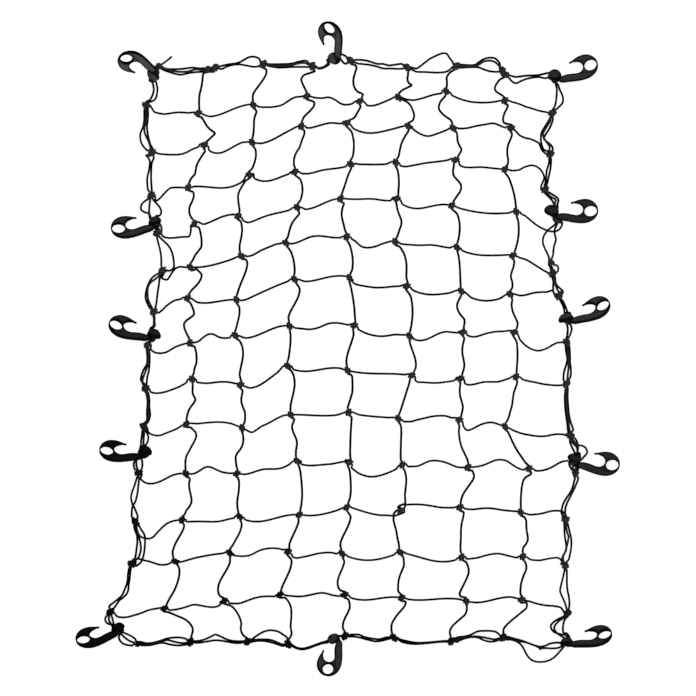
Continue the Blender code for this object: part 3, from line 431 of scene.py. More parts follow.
# The border clockwise from the top left corner. Each stop gives the outer and the inner cord on
# the way to the next stop, then any third strands, as pairs of sways outwards or as points. A
# third number in a point is its height.
straight = (0, 0)
border = {
    "top": (
        ("hook_01", straight, straight),
        ("TL", [(-294, 448.5), (-278, 447.5), (-266, 448), (-248, 450), (-236, 448)],
         [(-292, 445), (-280, 441), (-268, 438.5), (-254, 441.5), (-241, 443), (-232, 443.5)],
         [(-278, 444), (-264, 443), (-254, 444), (-245, 447), (-236, 447)]),
        ("T0", straight, straight),
        ("T1", [(-200, 453), (-190, 454.5), (-175.5, 457), (-165, 463.5), (-158, 467), (-150, 467.5),
          (-142, 464)],
         [(-202, 448), (-193, 453), (-177, 456), (-165, 454), (-154, 451.5), (-145, 451.5)]),
        ("T2", [(-127, 455), (-115, 455.5), (-90, 456.5), (-78, 460), (-67, 460.5)],
         [(-124, 452), (-111, 450), (-90, 451), (-68, 451)],
         [(-115, 453), (-90, 454), (-78, 457), (-67, 457.5)]),
        ("T3", [(-48, 449.3, 5), (-43, 449.7, 4.8), (-37, 452, 4.5), (-31.5, 457.5, 4.5)],
         [(-48, 448.2, 2), (-43, 448.5, 1.5), (-37, 450.8, 1.5), (-30.5, 456, 1.5)]),
        ("hook_02", [(-12, 471), (-2, 467.5)],
         [(-14, 467), (-7, 457.5), (-2, 456)]),
        ("T4", [(14, 462.5), (20, 462.5), (31, 461), (47, 456), (56, 456), (66, 453.5), (77, 455),
          (87, 456)],
         [(14, 456.5), (20, 456), (34, 454.5), (47, 451.5), (57, 448.5), (68, 448.5), (86, 448)]),
        ("T5", [(109, 448.5), (118, 454), (130, 463.5), (143, 470), (151.5, 473), (158, 472),
          (162, 466), (167, 460)],
         [(109, 443.5), (123, 443), (146, 442), (159, 444)]),
        ("T6", [(182, 454), (203, 454.5), (214, 462), (221, 465), (228, 466), (235, 465), (243, 457)],
         [(182, 450.5), (208.5, 450.5), (214, 448.5), (223, 445), (231.5, 443.5), (239, 443)],
         [(190, 452.5), (206, 453), (217, 459.5), (228, 461), (237, 457.5)]),
        ("T7", straight, straight),
        ("T8", [(262, 436.5), (269, 435), (283, 437), (304.5, 437.5), (315, 440.5), (323, 442)],
         [(260, 430.5), (263.5, 427), (269, 425), (274, 427), (280, 430), (294, 434), (304.5, 435.5),
          (316, 433)]),
    ),
    "right": (
        ("hook_03", [(335.5, 424), (339, 414.5), (343, 406.5), (344.5, 399), (343.5, 393.5),
          (339, 388), (333.5, 383)],
         [(333, 424), (334.5, 417), (334, 405.5), (333, 396), (331, 388)]),
        ("R1", [(328, 367), (325, 357.5), (321, 349.5), (315.5, 341.5), (313.5, 336), (317, 332),
          (323, 328), (327, 323), (328, 318)],
         [(322, 366), (317.5, 359), (313, 352), (309.5, 345), (308.5, 337), (308.5, 329.5),
          (309.5, 324), (313, 317.5)],
         [(323.5, 364), (318.5, 356), (314.5, 349.5), (312, 343), (314, 336), (318.5, 329.5),
          (322.5, 324)]),
        ("R2", [(325, 303), (325, 298.5), (324.5, 290.5), (323, 282.5), (321.5, 276), (320, 269.5),
          (318.5, 263)],
         [(322, 303), (322, 298.5), (320, 291), (318, 285.5), (317.5, 279), (317, 273), (316, 265)]),
        ("R3", [(322.5, 249), (329.5, 245.5), (335, 241.5), (337, 237.5), (335, 231)],
         [(319, 246), (323, 241.5), (327, 237), (329.5, 232)],
         [(321, 246.5), (325, 243), (330.5, 240), (333, 237), (331, 233.5)]),
        ("hook_04", straight, straight),
        ("R4", [(333.5, 197), (331, 190.5), (331, 183), (333, 175), (330.5, 167), (329, 159),
          (328.5, 151), (326.5, 145)],
         [(331, 198), (326.5, 194.5), (320, 189.5), (314.5, 182.5), (312, 175), (312.5, 167),
          (316, 158.5), (320, 150.5), (322, 145)]),
        ("R5a", straight, straight,
         [(330.5, 134.5), (334.5, 133.5), (336.5, 129), (335, 124)]),
        ("R5", [(331, 108), (333.5, 102.5), (338.5, 97), (343, 93), (344, 88.5)],
         [(329, 109), (329, 103), (328, 97), (328.5, 91), (331, 87)],
         [(330, 112), (331.5, 103), (334, 97), (336, 92)]),
        ("R6", [(343, 77), (347.5, 69), (349.5, 63), (351, 57)],
         [(340.5, 76), (344, 70), (346, 64), (347.5, 57)]),
        ("hook_05", [(356, 39), (358, 33), (357.5, 27), (354.5, 20)],
         [(351, 39), (352, 31), (351.5, 25), (350.5, 19)]),
        ("R7", [(353.5, 3.5), (355.5, -9.5), (355.5, -23.5), (357, -32.5), (356.5, -43.5), (354, -50)],
         [(349, 3), (349, -4), (351, -14), (350.5, -22), (348.5, -29), (346, -36), (345, -45),
          (345.5, -51)],
         [(352, 2), (352.5, -9.5), (353, -20), (353, -31), (352, -39.5), (352, -47)]),
        ("R8", [(351.5, -65), (351.5, -77), (352.5, -91.5), (353.5, -103.5), (356, -116),
          (359.5, -126), (360.5, -131)],
         [(348, -65), (347, -77), (347.5, -91.5), (348.5, -103.5), (350.5, -116), (352.5, -130)],
         [(349.8, -66), (349.5, -77), (350, -91.5), (351, -103.5), (353, -114), (353.5, -126)]),
        ("R9", [(361.5, -142), (366, -148), (368, -154.5), (368, -160.5), (366, -167)],
         [(355, -147), (356, -152), (359.5, -159), (364, -166)],
         [(360, -146), (363, -151), (367.5, -154.5), (376.5, -156), (382, -161.5), (382.5, -167),
          (379, -171.5)],
         [(357.5, -145), (359.5, -150), (362.5, -153.5), (366, -157), (367, -162)]),
        ("hook_06", [(367, -187), (366.5, -193)],
         [(355, -182), (354.8, -187.5), (357.5, -192.5)],
         [(358, -181.5), (361.3, -185), (361.6, -188), (359, -191.5), (361, -195)],
         [(364, -185), (363.8, -192)],
         [(357, -184), (356.6, -188.5), (359, -193)],
         [(360.5, -181.5), (364, -183.5), (366, -189)]),
        ("R10", [(368, -206), (368, -210.5), (365, -217.5, 4.8), (361.1, -226.5, 5.3),
          (356.2, -236, 4.8), (351.3, -246), (348.3, -254), (347.4, -264)],
         [(363.5, -207), (362, -213), (360, -221), (357.4, -228), (352, -236), (346.7, -244),
          (343.6, -251), (342.3, -260), (343, -265)]),
        ("R11", [(351.5, -281.5), (355, -294), (357.5, -304.5), (357.5, -317), (355.5, -329.5),
          (353, -338.5)],
         [(347, -281), (346.5, -294), (348, -306.5), (349.5, -315.5), (349, -324), (344.5, -330.5),
          (342, -337)],
         [(349, -283), (350, -292), (353, -301), (352, -309), (350, -317), (347.5, -326), (344, -334)]),
        ("R12", [(350, -355), (350.5, -365), (350.5, -377.5), (351.5, -388), (354, -399),
          (354.5, -409.5), (353.5, -416)],
         [(346.5, -355), (344.5, -365), (341.5, -377.5), (339.5, -387.5), (341.5, -394.5),
          (345.5, -402.5), (349, -413)]),
        ("R13", [(348, -431.5), (345, -439.5), (344, -447.5), (345, -456)],
         [(343, -430), (334, -434.5), (326.5, -440.5), (324.5, -445), (326.5, -450.5), (332, -455),
          (342, -457)],
         [(345, -431), (337.5, -436), (331, -443.5), (330, -448.5), (334, -455), (341, -460)]),
    ),
    "bottom": (
        ("hook_07", [(343, -479.5), (337, -487.5), (329, -495.5), (319, -500.5), (309, -502),
          (299, -501), (291, -496.5), (285, -488.5), (279, -476.5), (271, -469), (258, -464.5)],
         [(338, -471), (331, -471), (323, -472.5), (315, -476.5, 3), (308, -478, 4.5),
          (295, -474, 4.5), (283, -469.5, 4.5), (271, -467, 3.5), (258, -463)],
         [(340, -478.5), (327, -480), (315, -479), (308.5, -479.5), (308, -481.5), (306, -478.5),
          (295, -474, -0.9), (283, -469.8, -0.9), (271, -467.5)]),
        ("B7", [(237, -467.5), (229, -469.5), (217, -467), (209, -463), (197, -461.5), (184, -464)],
         [(241, -456.5), (235, -453), (223, -452), (207, -453), (195, -459.5), (185, -462)],
         [(236, -466), (223, -463.5), (213, -461.5), (199, -461)]),
        ("B6a", straight, straight),
        ("B6", [(150, -469.3, 4.5), (130, -471.3, 4.5), (115, -472.6, 4.3), (104, -473, 3.6),
          (93, -471.5), (86, -469.5)],
         [(149, -468.6, 1.5), (127, -470.6, 1.5), (111, -471.2, 1.5), (101, -470, 1.5), (91, -467.6),
          (84, -466.5)]),
        ("B5", [(61, -466), (53, -468), (44, -469), (35, -467), (21, -463), (8, -461)],
         [(61, -462.5), (51, -465.5), (39, -464.5), (25, -462), (17, -458), (7, -458)]),
        ("B4", straight, straight),
        ("hook_08", [(-33, -470, 4.5), (-41, -471.6, 4.5), (-53, -475.8, 4.5), (-67, -480.8, 4.5),
          (-75, -481.5, 4.5), (-85, -479, 5)],
         [(-33, -468.7, 1.5), (-41, -470.4, 1.5), (-53, -474.6, 1.5), (-67, -479.4, 1.5),
          (-75, -480.3, 1.5), (-84, -478, 2)]),
        ("B3", [(-106, -475.5), (-113, -473.5), (-127, -469.5), (-137, -468), (-150, -468.5)],
         [(-98, -463), (-103, -459), (-111, -453.5), (-123, -451), (-133, -452.5), (-143, -457.5),
          (-152, -464)],
         [(-105, -473.5), (-113, -470.5), (-123, -466.5), (-135, -465.5), (-146, -466)]),
        ("B2", [(-177, -471.5), (-189, -470), (-201, -468), (-213, -467), (-225, -469), (-240, -471)],
         [(-176, -469), (-187, -468), (-195, -465.5), (-205, -460.5), (-212, -458), (-217, -459.5),
          (-225, -464), (-238, -468)]),
        ("B1", [(-261, -473.5), (-271, -475.5), (-285, -474), (-298, -471), (-307, -472.5),
          (-317, -475), (-328, -474.5)],
         [(-260, -464.5), (-271, -462.5), (-289, -464), (-299, -467.5), (-307, -470), (-317, -472),
          (-328, -471.5)],
         [(-262, -472), (-277, -469.5), (-290, -466.5), (-299, -469), (-317, -473)]),
        ("B0", [(-346, -475), (-355, -474.5), (-363, -470.5), (-367, -462)],
         [(-341, -465), (-346, -461), (-353, -457.5), (-362, -453.5)],
         [(-347, -469.5), (-358, -462.5)]),
    ),
    "left": (
        ("hook_09", [(-378, -442), (-384.5, -440.5), (-387.5, -438), (-389, -433.5), (-387.5, -429)],
         [(-376.5, -439), (-377.5, -432.5), (-378.5, -429)],
         [(-379.5, -440), (-382, -437), (-383, -432.5)]),
        ("L13", [(-382.5, -413), (-380, -410), (-373, -405), (-366.5, -400.5), (-362, -395.5),
          (-358, -386.5), (-354, -377.5), (-352, -372), (-352.5, -365), (-351, -354)],
         [(-375, -416.5), (-370.5, -409.5), (-367, -403), (-361, -399), (-355, -393.5), (-352, -386.5),
          (-352, -379.5), (-351, -372), (-349.5, -364), (-348.5, -355)]),
        ("L12", [(-341, -335), (-339, -322.5), (-337.5, -310), (-338, -299.5), (-341, -291.5),
          (-342.5, -284)],
         [(-339.5, -348), (-337, -346.5), (-332, -342), (-328.5, -335), (-326, -322.5), (-325, -310),
          (-325, -303), (-327, -296.5), (-331.5, -289.5), (-336, -282)],
         [(-336, -335), (-333, -328.5), (-331.5, -320.5), (-332.5, -310), (-335, -301),
          (-338.5, -292)]),
        ("L11", [(-346, -271), (-346.5, -265.5), (-345.5, -256.5), (-343, -248.5), (-340.5, -244),
          (-337.5, -233.5), (-336, -221), (-334.5, -207)],
         [(-336.5, -271), (-338.5, -263.5), (-342, -256.5), (-345.5, -247.5), (-347.5, -238),
          (-346, -230), (-342.5, -221), (-337.5, -207)]),
        ("L10", [(-341, -194), (-343, -188), (-343, -183), (-340, -179)],
         [(-331, -194), (-329.5, -188), (-329.5, -181), (-331, -175)],
         [(-338.5, -191), (-339, -185), (-338, -177)]),
        ("hook_10", [(-331.5, -154.5), (-331.5, -148), (-330, -138.5), (-329, -132)],
         [(-323.5, -153.5), (-320.5, -148), (-319.5, -141.5), (-320.5, -136), (-323, -130.5)],
         [(-327.5, -154), (-327.5, -146), (-326.5, -136)]),
        ("L9", [(-323, -118), (-321.5, -113.5), (-322, -106.5), (-322, -98.5), (-321, -90.5),
          (-320.5, -79), (-322.5, -70)],
         [(-321, -118), (-318.5, -113), (-317, -108), (-317, -101.5), (-318.5, -93.5), (-318.5, -82.5),
          (-320.5, -71)],
         [(-319.5, -110), (-319.5, -102), (-320, -92)]),
        ("L8", [(-329.5, -61), (-332, -50.5), (-331, -44), (-329, -37), (-325, -29.5), (-322, -24),
          (-321.5, -10)],
         [(-322.5, -56), (-321.5, -45.5), (-319, -36), (-318, -26), (-317.5, -10), (-318.5, -1)],
         [(-328, -56), (-328.5, -49), (-326, -41), (-322.5, -32), (-320, -24), (-319.5, -10)]),
        ("L7", straight, straight),
        ("hook_11", [(-311, 36, 4.5), (-310.8, 42, 4.5), (-310.8, 49, 4.5)],
         [(-309.8, 37, 1.5), (-310.2, 42, 1.5), (-309.8, 49, 1.5)]),
        ("L6", [(-316.5, 64.5), (-319, 68), (-322.5, 74.5), (-324.5, 82.5), (-324, 89), (-321.5, 98.5),
          (-318.5, 106.5), (-315, 112), (-309, 117.5), (-303.5, 121)],
         [(-308, 65.5), (-306.5, 76), (-305, 89), (-303, 101.5), (-301, 113)],
         [(-316.5, 70), (-320, 78), (-321, 89), (-320.5, 98), (-317, 105), (-309, 111), (-302.5, 117)]),
        ("L5", [(-299, 132), (-299, 141.5), (-300, 153), (-302.5, 164), (-305.5, 176)],
         [(-290, 125), (-286, 124.5), (-281, 126.5), (-278.5, 130), (-278.5, 135), (-279.5, 143),
          (-281.5, 153), (-285, 161), (-289.5, 167), (-296, 173), (-301, 178)]),
        ("L4", [(-308.5, 194)],
         [(-305.5, 194.5)],
         [(-299.5, 185), (-299, 191), (-300.5, 197), (-304, 201)]),
        ("hook_12", [(-318.5, 216), (-325, 218), (-330.5, 221.5), (-332, 225.5), (-330.5, 231),
          (-325, 237), (-320, 240.5)],
         [(-302, 213), (-300, 215.5), (-299, 219.5), (-301, 225.5), (-305.5, 232), (-310.5, 238)],
         [(-318, 213), (-318.5, 220), (-318, 229), (-317, 237)]),
        ("L3", [(-319, 252.5), (-320.5, 255), (-321.5, 263), (-321.5, 274.5), (-318.5, 285.5),
          (-317, 294.5), (-317, 300), (-320, 306), (-324, 310.5), (-320, 310)],
         [(-314, 253), (-315, 263), (-315.5, 274.5), (-315.5, 285.5), (-315.5, 294.5), (-314, 299.5),
          (-311, 305.5)]),
        ("L2", [(-320, 316), (-323, 318.5), (-328, 324), (-331.5, 330.5), (-333, 338.5), (-332, 346.5),
          (-328, 356), (-326.5, 366), (-326, 379)],
         [(-314.5, 322), (-317, 327), (-319.5, 337), (-321.5, 348), (-322, 357.5), (-320.5, 368),
          (-320.5, 379)],
         [(-316, 323), (-319, 332), (-323, 339), (-326, 347), (-326, 355), (-323.5, 364), (-323, 376)]),
        ("L1", [(-317.5, 397), (-314.5, 402.5), (-311.5, 411), (-311, 418.5), (-313.5, 428)],
         [(-315, 395.5), (-310.5, 398), (-307, 403), (-305.5, 410.5), (-305.5, 418.5), (-308.5, 427)]),
    ),
}
outward = {"top": (0, 1), "right": (1, 0), "bottom": (0, -1), "left": (-1, 0)}
# Where one border cord is knotted round the other, with no cross cord
bundles = {
    "TL": (-303, 452), "T0": (-224, 447.5), "T8": (253.5, 438), "R5a": (324.5, 138),
    "R10": (364.5, -199), "B6a": (174, -466), "B0": (-337, -472.5),
}
entersOutside = ("R4",)
# The cross cord whose right end is tucked into the border's own knot
tucked = {"row": 10, "height": 6.0}
# The one crossing whose knot has come loose: the cross cord's way past it, and the long cord's
# way to its turns and from them
loose = {
    "crossing": (11, 5),
    "row": ((73.2, -268), (78.8, -266.8), (84, -264.6), (90, -261.8), (88.9, -257.6), (90, -254.4),
            (92, -250.2)),
    "above": ((91.4, -249.6), (88.6, -249.4), (85.4, -250.6), (82, -252.6), (80.2, -254.8),
              (81, -257.2)),
    "turns": (84.6, -259.2, 4.2),
    "below": ((79.2, -258.8), (75.2, -261.6), (73.2, -264.4), (72.8, -268.2)),
    "rise": 3.2,
    "under": 1.4,
    "size": 0.8,
}
freeTail = ((-306.5, 449, 8.5), (-302, 452.5, 6.8), (-296, 456.5, 2.6), (-282, 468, 1.5))

# A clove hitch, in turns round the cord that it holds: the angle from straight up, how far it
# rides out over the turn under it, and its shift along that cord, in cord widths
hitchTurns = (
    (-70, 0.25, -0.3), (-35, 0.1, -0.4), (0, 0, -0.45), (45, 0, -0.5), (90, 0, -0.58),
    (140, 0, -0.72), (190, 0, -0.88), (235, 0.02, -1.08), (275, 0.15, -1.25), (305, 0.45, -1.2),
    (332, 0.85, -0.8), (360, 1, 0), (386, 0.8, 0.75), (412, 0.42, 1.15), (445, 0.12, 1.25),
    (490, 0, 1.2), (540, 0, 1.05), (590, 0, 0.9), (640, 0.03, 0.75), (680, 0, 0.62),
    (720, 0, 0.52), (755, 0.08, 0.45), (795, 0.28, 0.38),
)
hitchLay = {
    "tilt": 14,  # degrees either way
    "size": (0.95, 1.06),
    "under": 0.9,  # how far a turn rides up, for how far it rides out
    "border": {"wide": 1.3, "tall": 1.35},
    "stub": (0.1, 0.4),  # the cut end, in cord widths: its length, how far it stands aside,
    "aside": (-0.4, 0.9),
    "drop": (0.6, 1.2),  # and how far it drops, halfway and at the cut
    "halfway": (0.5, 0.4),
}
coilLay = {"points": 16, "turns": 2, "length": 1.8, "swell": 0.25}  # in cord widths
borderLay = {
    # The two border cords at a knot, in cord widths: half its length, how far they part outwards,
    # how far they part upwards
    "bundle": (1.4, 0, 0),
    "knot": (1.1, 0.32, 0.42),
    "apart": 0.5,  # mm from the middle to each cord of a pair
    "third": 0.8,  # how far a third strand lies over them, and starts from a knot
    "clear": 2.1,
    "given": (6.0, 2.1),  # where a strand starts: mm from a hook's neck, widths from a knot,
    "swayed": (13.0, 2.6),  # and the same for one that is given by its sway
    "shares": (0.2, 1 / 3, 0.5, 2 / 3, 0.8),
}


def flat(*values):
    return np.array(values, float)


def unit(v):
    return v / max(norm(v), 1e-9)


def lifted(point, z):
    return np.array((point[0], point[1], z))


# The lengths of a line's pieces
def spans(line):
    return norm(np.diff(line, axis=0), axis=1)


# Points about a step apart along a line
def evened(line, step):
    run = np.concatenate([[0], np.cumsum(spans(line))])
    even = np.linspace(0, run[-1], max(int(round(run[-1] / step)), 2) + 1)
    return np.stack([np.interp(even, run, line[:, k]) for k in range(3)], axis=1)


# The same along a centripetal Catmull-Rom curve through these points
def smooth(points, step):
    knots = []
    for point in np.array(points, float):
        if not knots or norm(point - knots[-1]) > net["closest"]:
            knots.append(point)
    knots = np.array([2 * knots[0] - knots[1], *knots, 2 * knots[-1] - knots[-2]])
    gaps = np.sqrt(spans(knots))
    fine = []
    for i in range(1, len(knots) - 2):
        t1, t2, t3 = np.cumsum(gaps[i - 1 : i + 2])
        count = max(int(math.ceil(gaps[i] ** 2 / step * net["finer"])), 2)
        t = np.linspace(t1, t2, count, endpoint=False)[:, None]
        p0, p1, p2, p3 = knots[i - 1 : i + 3]
        a1 = (t1 - t) / t1 * p0 + t / t1 * p1
        a2 = (t2 - t) / (t2 - t1) * p1 + (t - t1) / (t2 - t1) * p2
        a3 = (t3 - t) / (t3 - t2) * p2 + (t - t2) / (t3 - t2) * p3
        b1 = (t2 - t) / t2 * a1 + t / t2 * a2
        b2 = (t3 - t) / (t3 - t1) * a2 + (t - t1) / (t3 - t1) * a3
        fine.append((t2 - t) / (t2 - t1) * b1 + (t - t1) / (t2 - t1) * b2)
    return evened(np.concatenate(fine + [knots[-2:-1]]), step)


# A point of a strand from a cubic that has its two sways at the thirds, which the 13.5 gives
def strandAt(start, end, sway, side, along):
    bulge = 13.5 * along * (1 - along)
    stray = bulge * (sway[0] * (2 / 3 - along) + sway[1] * (along - 1 / 3))
    return start + (end - start) * along + side * stray


# A strand's own points, or some of its cubic
def strandSpots(start, end, strand, side, alongs):
    if isinstance(strand, list):
        return [flat(*point) for point in strand]
    return [strandAt(start, end, strand, side, along) for along in alongs]


# How high a cord runs over the ground this far from a knot that it goes through
def knotRise(distance):
    over, down = net["overKnot"] * d, net["comesDown"] * d
    share = min(max((over + down - distance) / down, 0), 1)
    return r + (net["knotHeight"] - r) * share * share * (3 - 2 * share)


# How one knot differs from the next
def dressing():
    tilt = hitchLay["tilt"]
    hand = dice.choice((-1, 1))
    return hand, math.radians(dice.uniform(-tilt, tilt)), dice.uniform(*hitchLay["size"])


# The turns of a hitch round a cord along axis, entered from behind across
def hitch(centre, axis, across, dressed, wide=1.0, tall=1.0):
    hand, tilt, size = dressed
    axis, across = (
        axis * math.cos(tilt) + across * math.sin(tilt),
        across * math.cos(tilt) - axis * math.sin(tilt),
    )
    points = []
    for angle, lift, shift in hitchTurns:
        turn = math.radians(angle)
        points.append(
            centre
            + axis * (hand * shift * d * size)
            + across * (math.sin(turn) * (wide + lift) * d * size)
            + flat(0, 0, math.cos(turn) * (tall + lift * hitchLay["under"]) * d)
        )
    return points


# Where the border stops, and the way out of the net there
def stops():
    places = {name: flat(*neck) for name, neck, *_ in hooks}
    for i, (xs, ys, _) in enumerate(rows, start=1):
        places[f"L{i}"], places[f"R{i}"] = flat(xs[0], ys[0]), flat(xs[-1], ys[-1])
    for i, (top, bottom, _) in enumerate(columns, start=1):
        places[f"T{i}"], places[f"B{i}"] = flat(*top), flat(*bottom)
    for name, place in bundles.items():
        places[name] = flat(*place)
    out = {}
    for i, name in enumerate(names):
        ahead = places[names[(i + 1) % len(names)]] - places[names[i - 1]]
        out[name] = unit(flat(-ahead[1], ahead[0]))
    return places, out


runs = [(side, *run) for side, sideRuns in border.items() for run in sideRuns]
names = [run[1] for run in runs]
following = dict(zip(names, names[1:] + names[:1]))
places, out = stops()


# A strand between two knots, clear of both of them
def strandPoints(start, end, strand, side):
    room = net["clear" if isinstance(strand, list) else "leadIn"] * d
    points = []
    for spot in strandSpots(start, end, strand, side, net["swayed"]):
        near = min(norm(spot - start), norm(spot - end))
        if near > room:
            points.append(lifted(spot, knotRise(near)))
    return points


# Where a strand is just off the knot that it starts or ends at
def besideKnot(start, end, strand, side, atEnd):
    if not isinstance(strand, list):
        return strandAt(start, end, strand, side, 1 - net["beside"] if atEnd else net["beside"])
    knot = end if atEnd else start
    for point in strand[::-1] if atEnd else strand:
        if norm(flat(*point) - knot) > net["clear"] * d:
            return flat(*point)


# A cord's end, hitched to both border cords and cut off just outside them
def endHitch(name):
    dressed = dressing()
    away = out[name] * (-1 if name in entersOutside else 1)
    axis, across = lifted(flat(away[1], -away[0]), 0), lifted(away, 0)
    centre = lifted(places[name], net["borderKnot"])
    turns = hitch(centre, axis, across, dressed, **hitchLay["border"])
    last = turns[-1]
    stub = dice.uniform(*hitchLay["stub"]) * d
    aside = dressed[0] * dice.uniform(*hitchLay["aside"]) * d
    (partOut, partAside), (drop, fullDrop) = hitchLay["halfway"], hitchLay["drop"]
    turns.append(last + across * stub * partOut + axis * aside * partAside - flat(0, 0, drop * d))
    turns.append(last + across * stub + axis * aside - flat(0, 0, fullDrop * d))
    return turns


# One border cord's turns round the other, and the third strands there
def coil(centre, along, away):
    points = []
    for k in range(coilLay["points"] + 1):
        share = k / coilLay["points"]
        turn = math.radians(360 * coilLay["turns"] * share - 90)
        swell = (1.0 + coilLay["swell"] * math.sin(math.pi * share)) * d
        across = lifted(away * math.sin(turn) * swell, math.cos(turn) * swell)
        points.append(centre + lifted(along, 0) * (share - 0.5) * coilLay["length"] * d + across)
    return points


# A cross cord from left to right
def rowPath(number):
    xs, ys, strands = rows[number - 1]
    knots = [flat(x, y) for x, y in zip(xs, ys)]
    up = flat(0, 1)
    points = endHitch(f"L{number}")[::-1]
    for i, strand in enumerate(strands):
        start, knot = knots[i : i + 2]
        points += strandPoints(start, knot, strand, up)
        if i + 1 == len(strands):
            break
        before = besideKnot(start, knot, strand, up, True)
        after = besideKnot(knot, knots[i + 2], strands[i + 1], up, False)
        axis = rowAxes[number, i + 1] = unit(after - before)
        if (number, i + 1) == loose["crossing"]:
            points += [lifted(point, loose["rise"] - loose["under"]) for point in loose["row"]]
            continue
        for along in net["through"]:
            points.append(lifted(knot + axis * (along * d), knotRise(abs(along * d))))
    if number == tucked["row"]:
        return points + [lifted(knots[-1], tucked["height"])]
    return points + endHitch(f"R{number}")


# A long cord from top to bottom, hitched round each cross cord
def columnPath(number):
    top, bottom, strands = columns[number - 1]
    knots = [flat(*top)] + [flat(xs[number], ys[number]) for xs, ys, _ in rows] + [flat(*bottom)]
    right = flat(1, 0)
    points = endHitch(f"T{number}")[::-1]
    for i, strand in enumerate(strands):
        points += strandPoints(knots[i], knots[i + 1], strand, right)
        if i + 1 == len(strands):
            break
        if (i + 1, number) == loose["crossing"]:
            points += [lifted(point, loose["rise"]) for point in loose["above"]]
            ways = flat(1, 0, 0), flat(0, -1, 0)
            points += hitch(flat(*loose["turns"]), *ways, dressing(), loose["size"], loose["size"])
            points += [lifted(point, loose["rise"]) for point in loose["below"]]
            continue
        axis = rowAxes[i + 1, number]
        across = flat(axis[1], -axis[0])
        centre = lifted(knots[i + 1], net["knotHeight"])
        points += hitch(centre, lifted(axis, 0), lifted(across, 0), dressing())
    return points + endHitch(f"B{number}")


# Where the hooks are, which the border cords are wound round

hookForm = {
    "cap": (-5.6, 3.3, 0.6),  # the cap's middle, from the middle of the neck
    "capWay": (0.14, 0.81, 0.57),  # the way it faces
    "capRadius": 10.8,
    "capHalf": 8.0,
    "neckLength": 7.8,
    "foot": (3.5, -5.8, -0.3),  # where the neck meets the shank
    "radius": 3.0,
    "thick": 8.0,
    # Points of its outline that may touch the ground
    "corners": ((24.4, 15.2), (43.8, 18.5), (66.8, -1.2), (46.8, -16.2), (20.5, -14.0), (3.6, -10.0)),
}
winds = {
    "at": 5.6,  # how far below the cap
    "radius": 4.5,
    "turn": (20, 160, 4),  # from, to, pieces
    "shift": (0.2, -0.6),  # outer cord, inner cord
    "square": 0.55,  # a cord that runs less across the neck than this goes round the shank's side,
    "shankward": 0.45,  # and leaves the cap this much towards the shank
    "rim": (9.3, 1.9),  # where the cord comes out under the cap: reach and height
}
capAt = Vector(hookForm["cap"])
capWay = Vector(hookForm["capWay"]).normalized()


# A hook's own frame in the net's, with its lowest point on the ground
def hookPlace(neck, heading, hand, pitch, roll):
    turn = Euler((math.radians(roll), -math.radians(pitch), 0)).to_matrix().to_4x4()
    place = Matrix.Rotation(math.radians(heading), 4, "Z") @ Matrix.Diagonal((1, hand, 1, 1)) @ turn
    wide, half = hookForm["capRadius"], hookForm["capHalf"]
    lean = (place.to_3x3() @ capWay).z
    lowest = math.sqrt(wide**2 + (half**2 - wide**2) * lean**2) - (place @ capAt).z
    for x, y in hookForm["corners"]:
        for face in (-1, 1):
            lowest = max(lowest, -(place @ Vector((x, y, face * hookForm["thick"] / 2))).z)
    return Matrix.Translation((*neck, lowest)) @ place


hookPlaces = {hook[0]: hookPlace(*hook[1:6]) for hook in hooks}


# Turns round a hook's neck, from a strand that comes from before to one that goes to after
def winding(name, before, after, which):
    place = hookPlaces[name]
    cap = np.array(place @ capAt)
    axis = unit(np.array(place.to_3x3() @ capWay))
    toShank = unit(lifted(np.array(place.to_3x3() @ Vector((1, 0, 0))), 0))
    middle = cap - axis * winds["at"]
    up = unit(flat(0, 0, 1) - axis * axis[2])
    side = unit(np.cross(axis, up))
    travel = lifted(unit(after - before), 0)
    underFirst = travel @ axis < 0
    across = abs(travel @ side) > winds["square"]
    if across:
        side = side * (-1 if side @ travel > 0 else 1)
    elif (side @ toShank > 0) != underFirst:
        side = -side
    points = []
    first, last, pieces = winds["turn"]
    for i in range(pieces + 1):
        turn = math.radians(first + (last - first) * i / pieces) * (1 - 2 * which)
        around = side * math.cos(turn) + up * math.sin(turn)
        points.append(middle + axis * winds["shift"][which] + around * winds["radius"])
    way = unit(lifted(before if underFirst else after, 0) - lifted(cap, 0))
    reach, height = winds["rim"]
    rim = lifted(cap + unit(way + toShank * (0.0 if across else winds["shankward"])) * reach, height)
    return [rim] + points if underFirst else points + [rim]


# A border strand's point at its own height, or as high as the knots beside it ask for
def raised(point, name):
    if len(point) > 2:
        return point
    knots = [places[stop] for stop in (name, following[name]) if not stop.startswith("hook")]
    return lifted(point, max([knotRise(norm(point - knot)) for knot in knots], default=r))


# Where a border strand starts or ends, as seen from above
def endOf(strand, index, stop):
    return flat(*strand[index][:2]) if isinstance(strand, list) else places[stop]


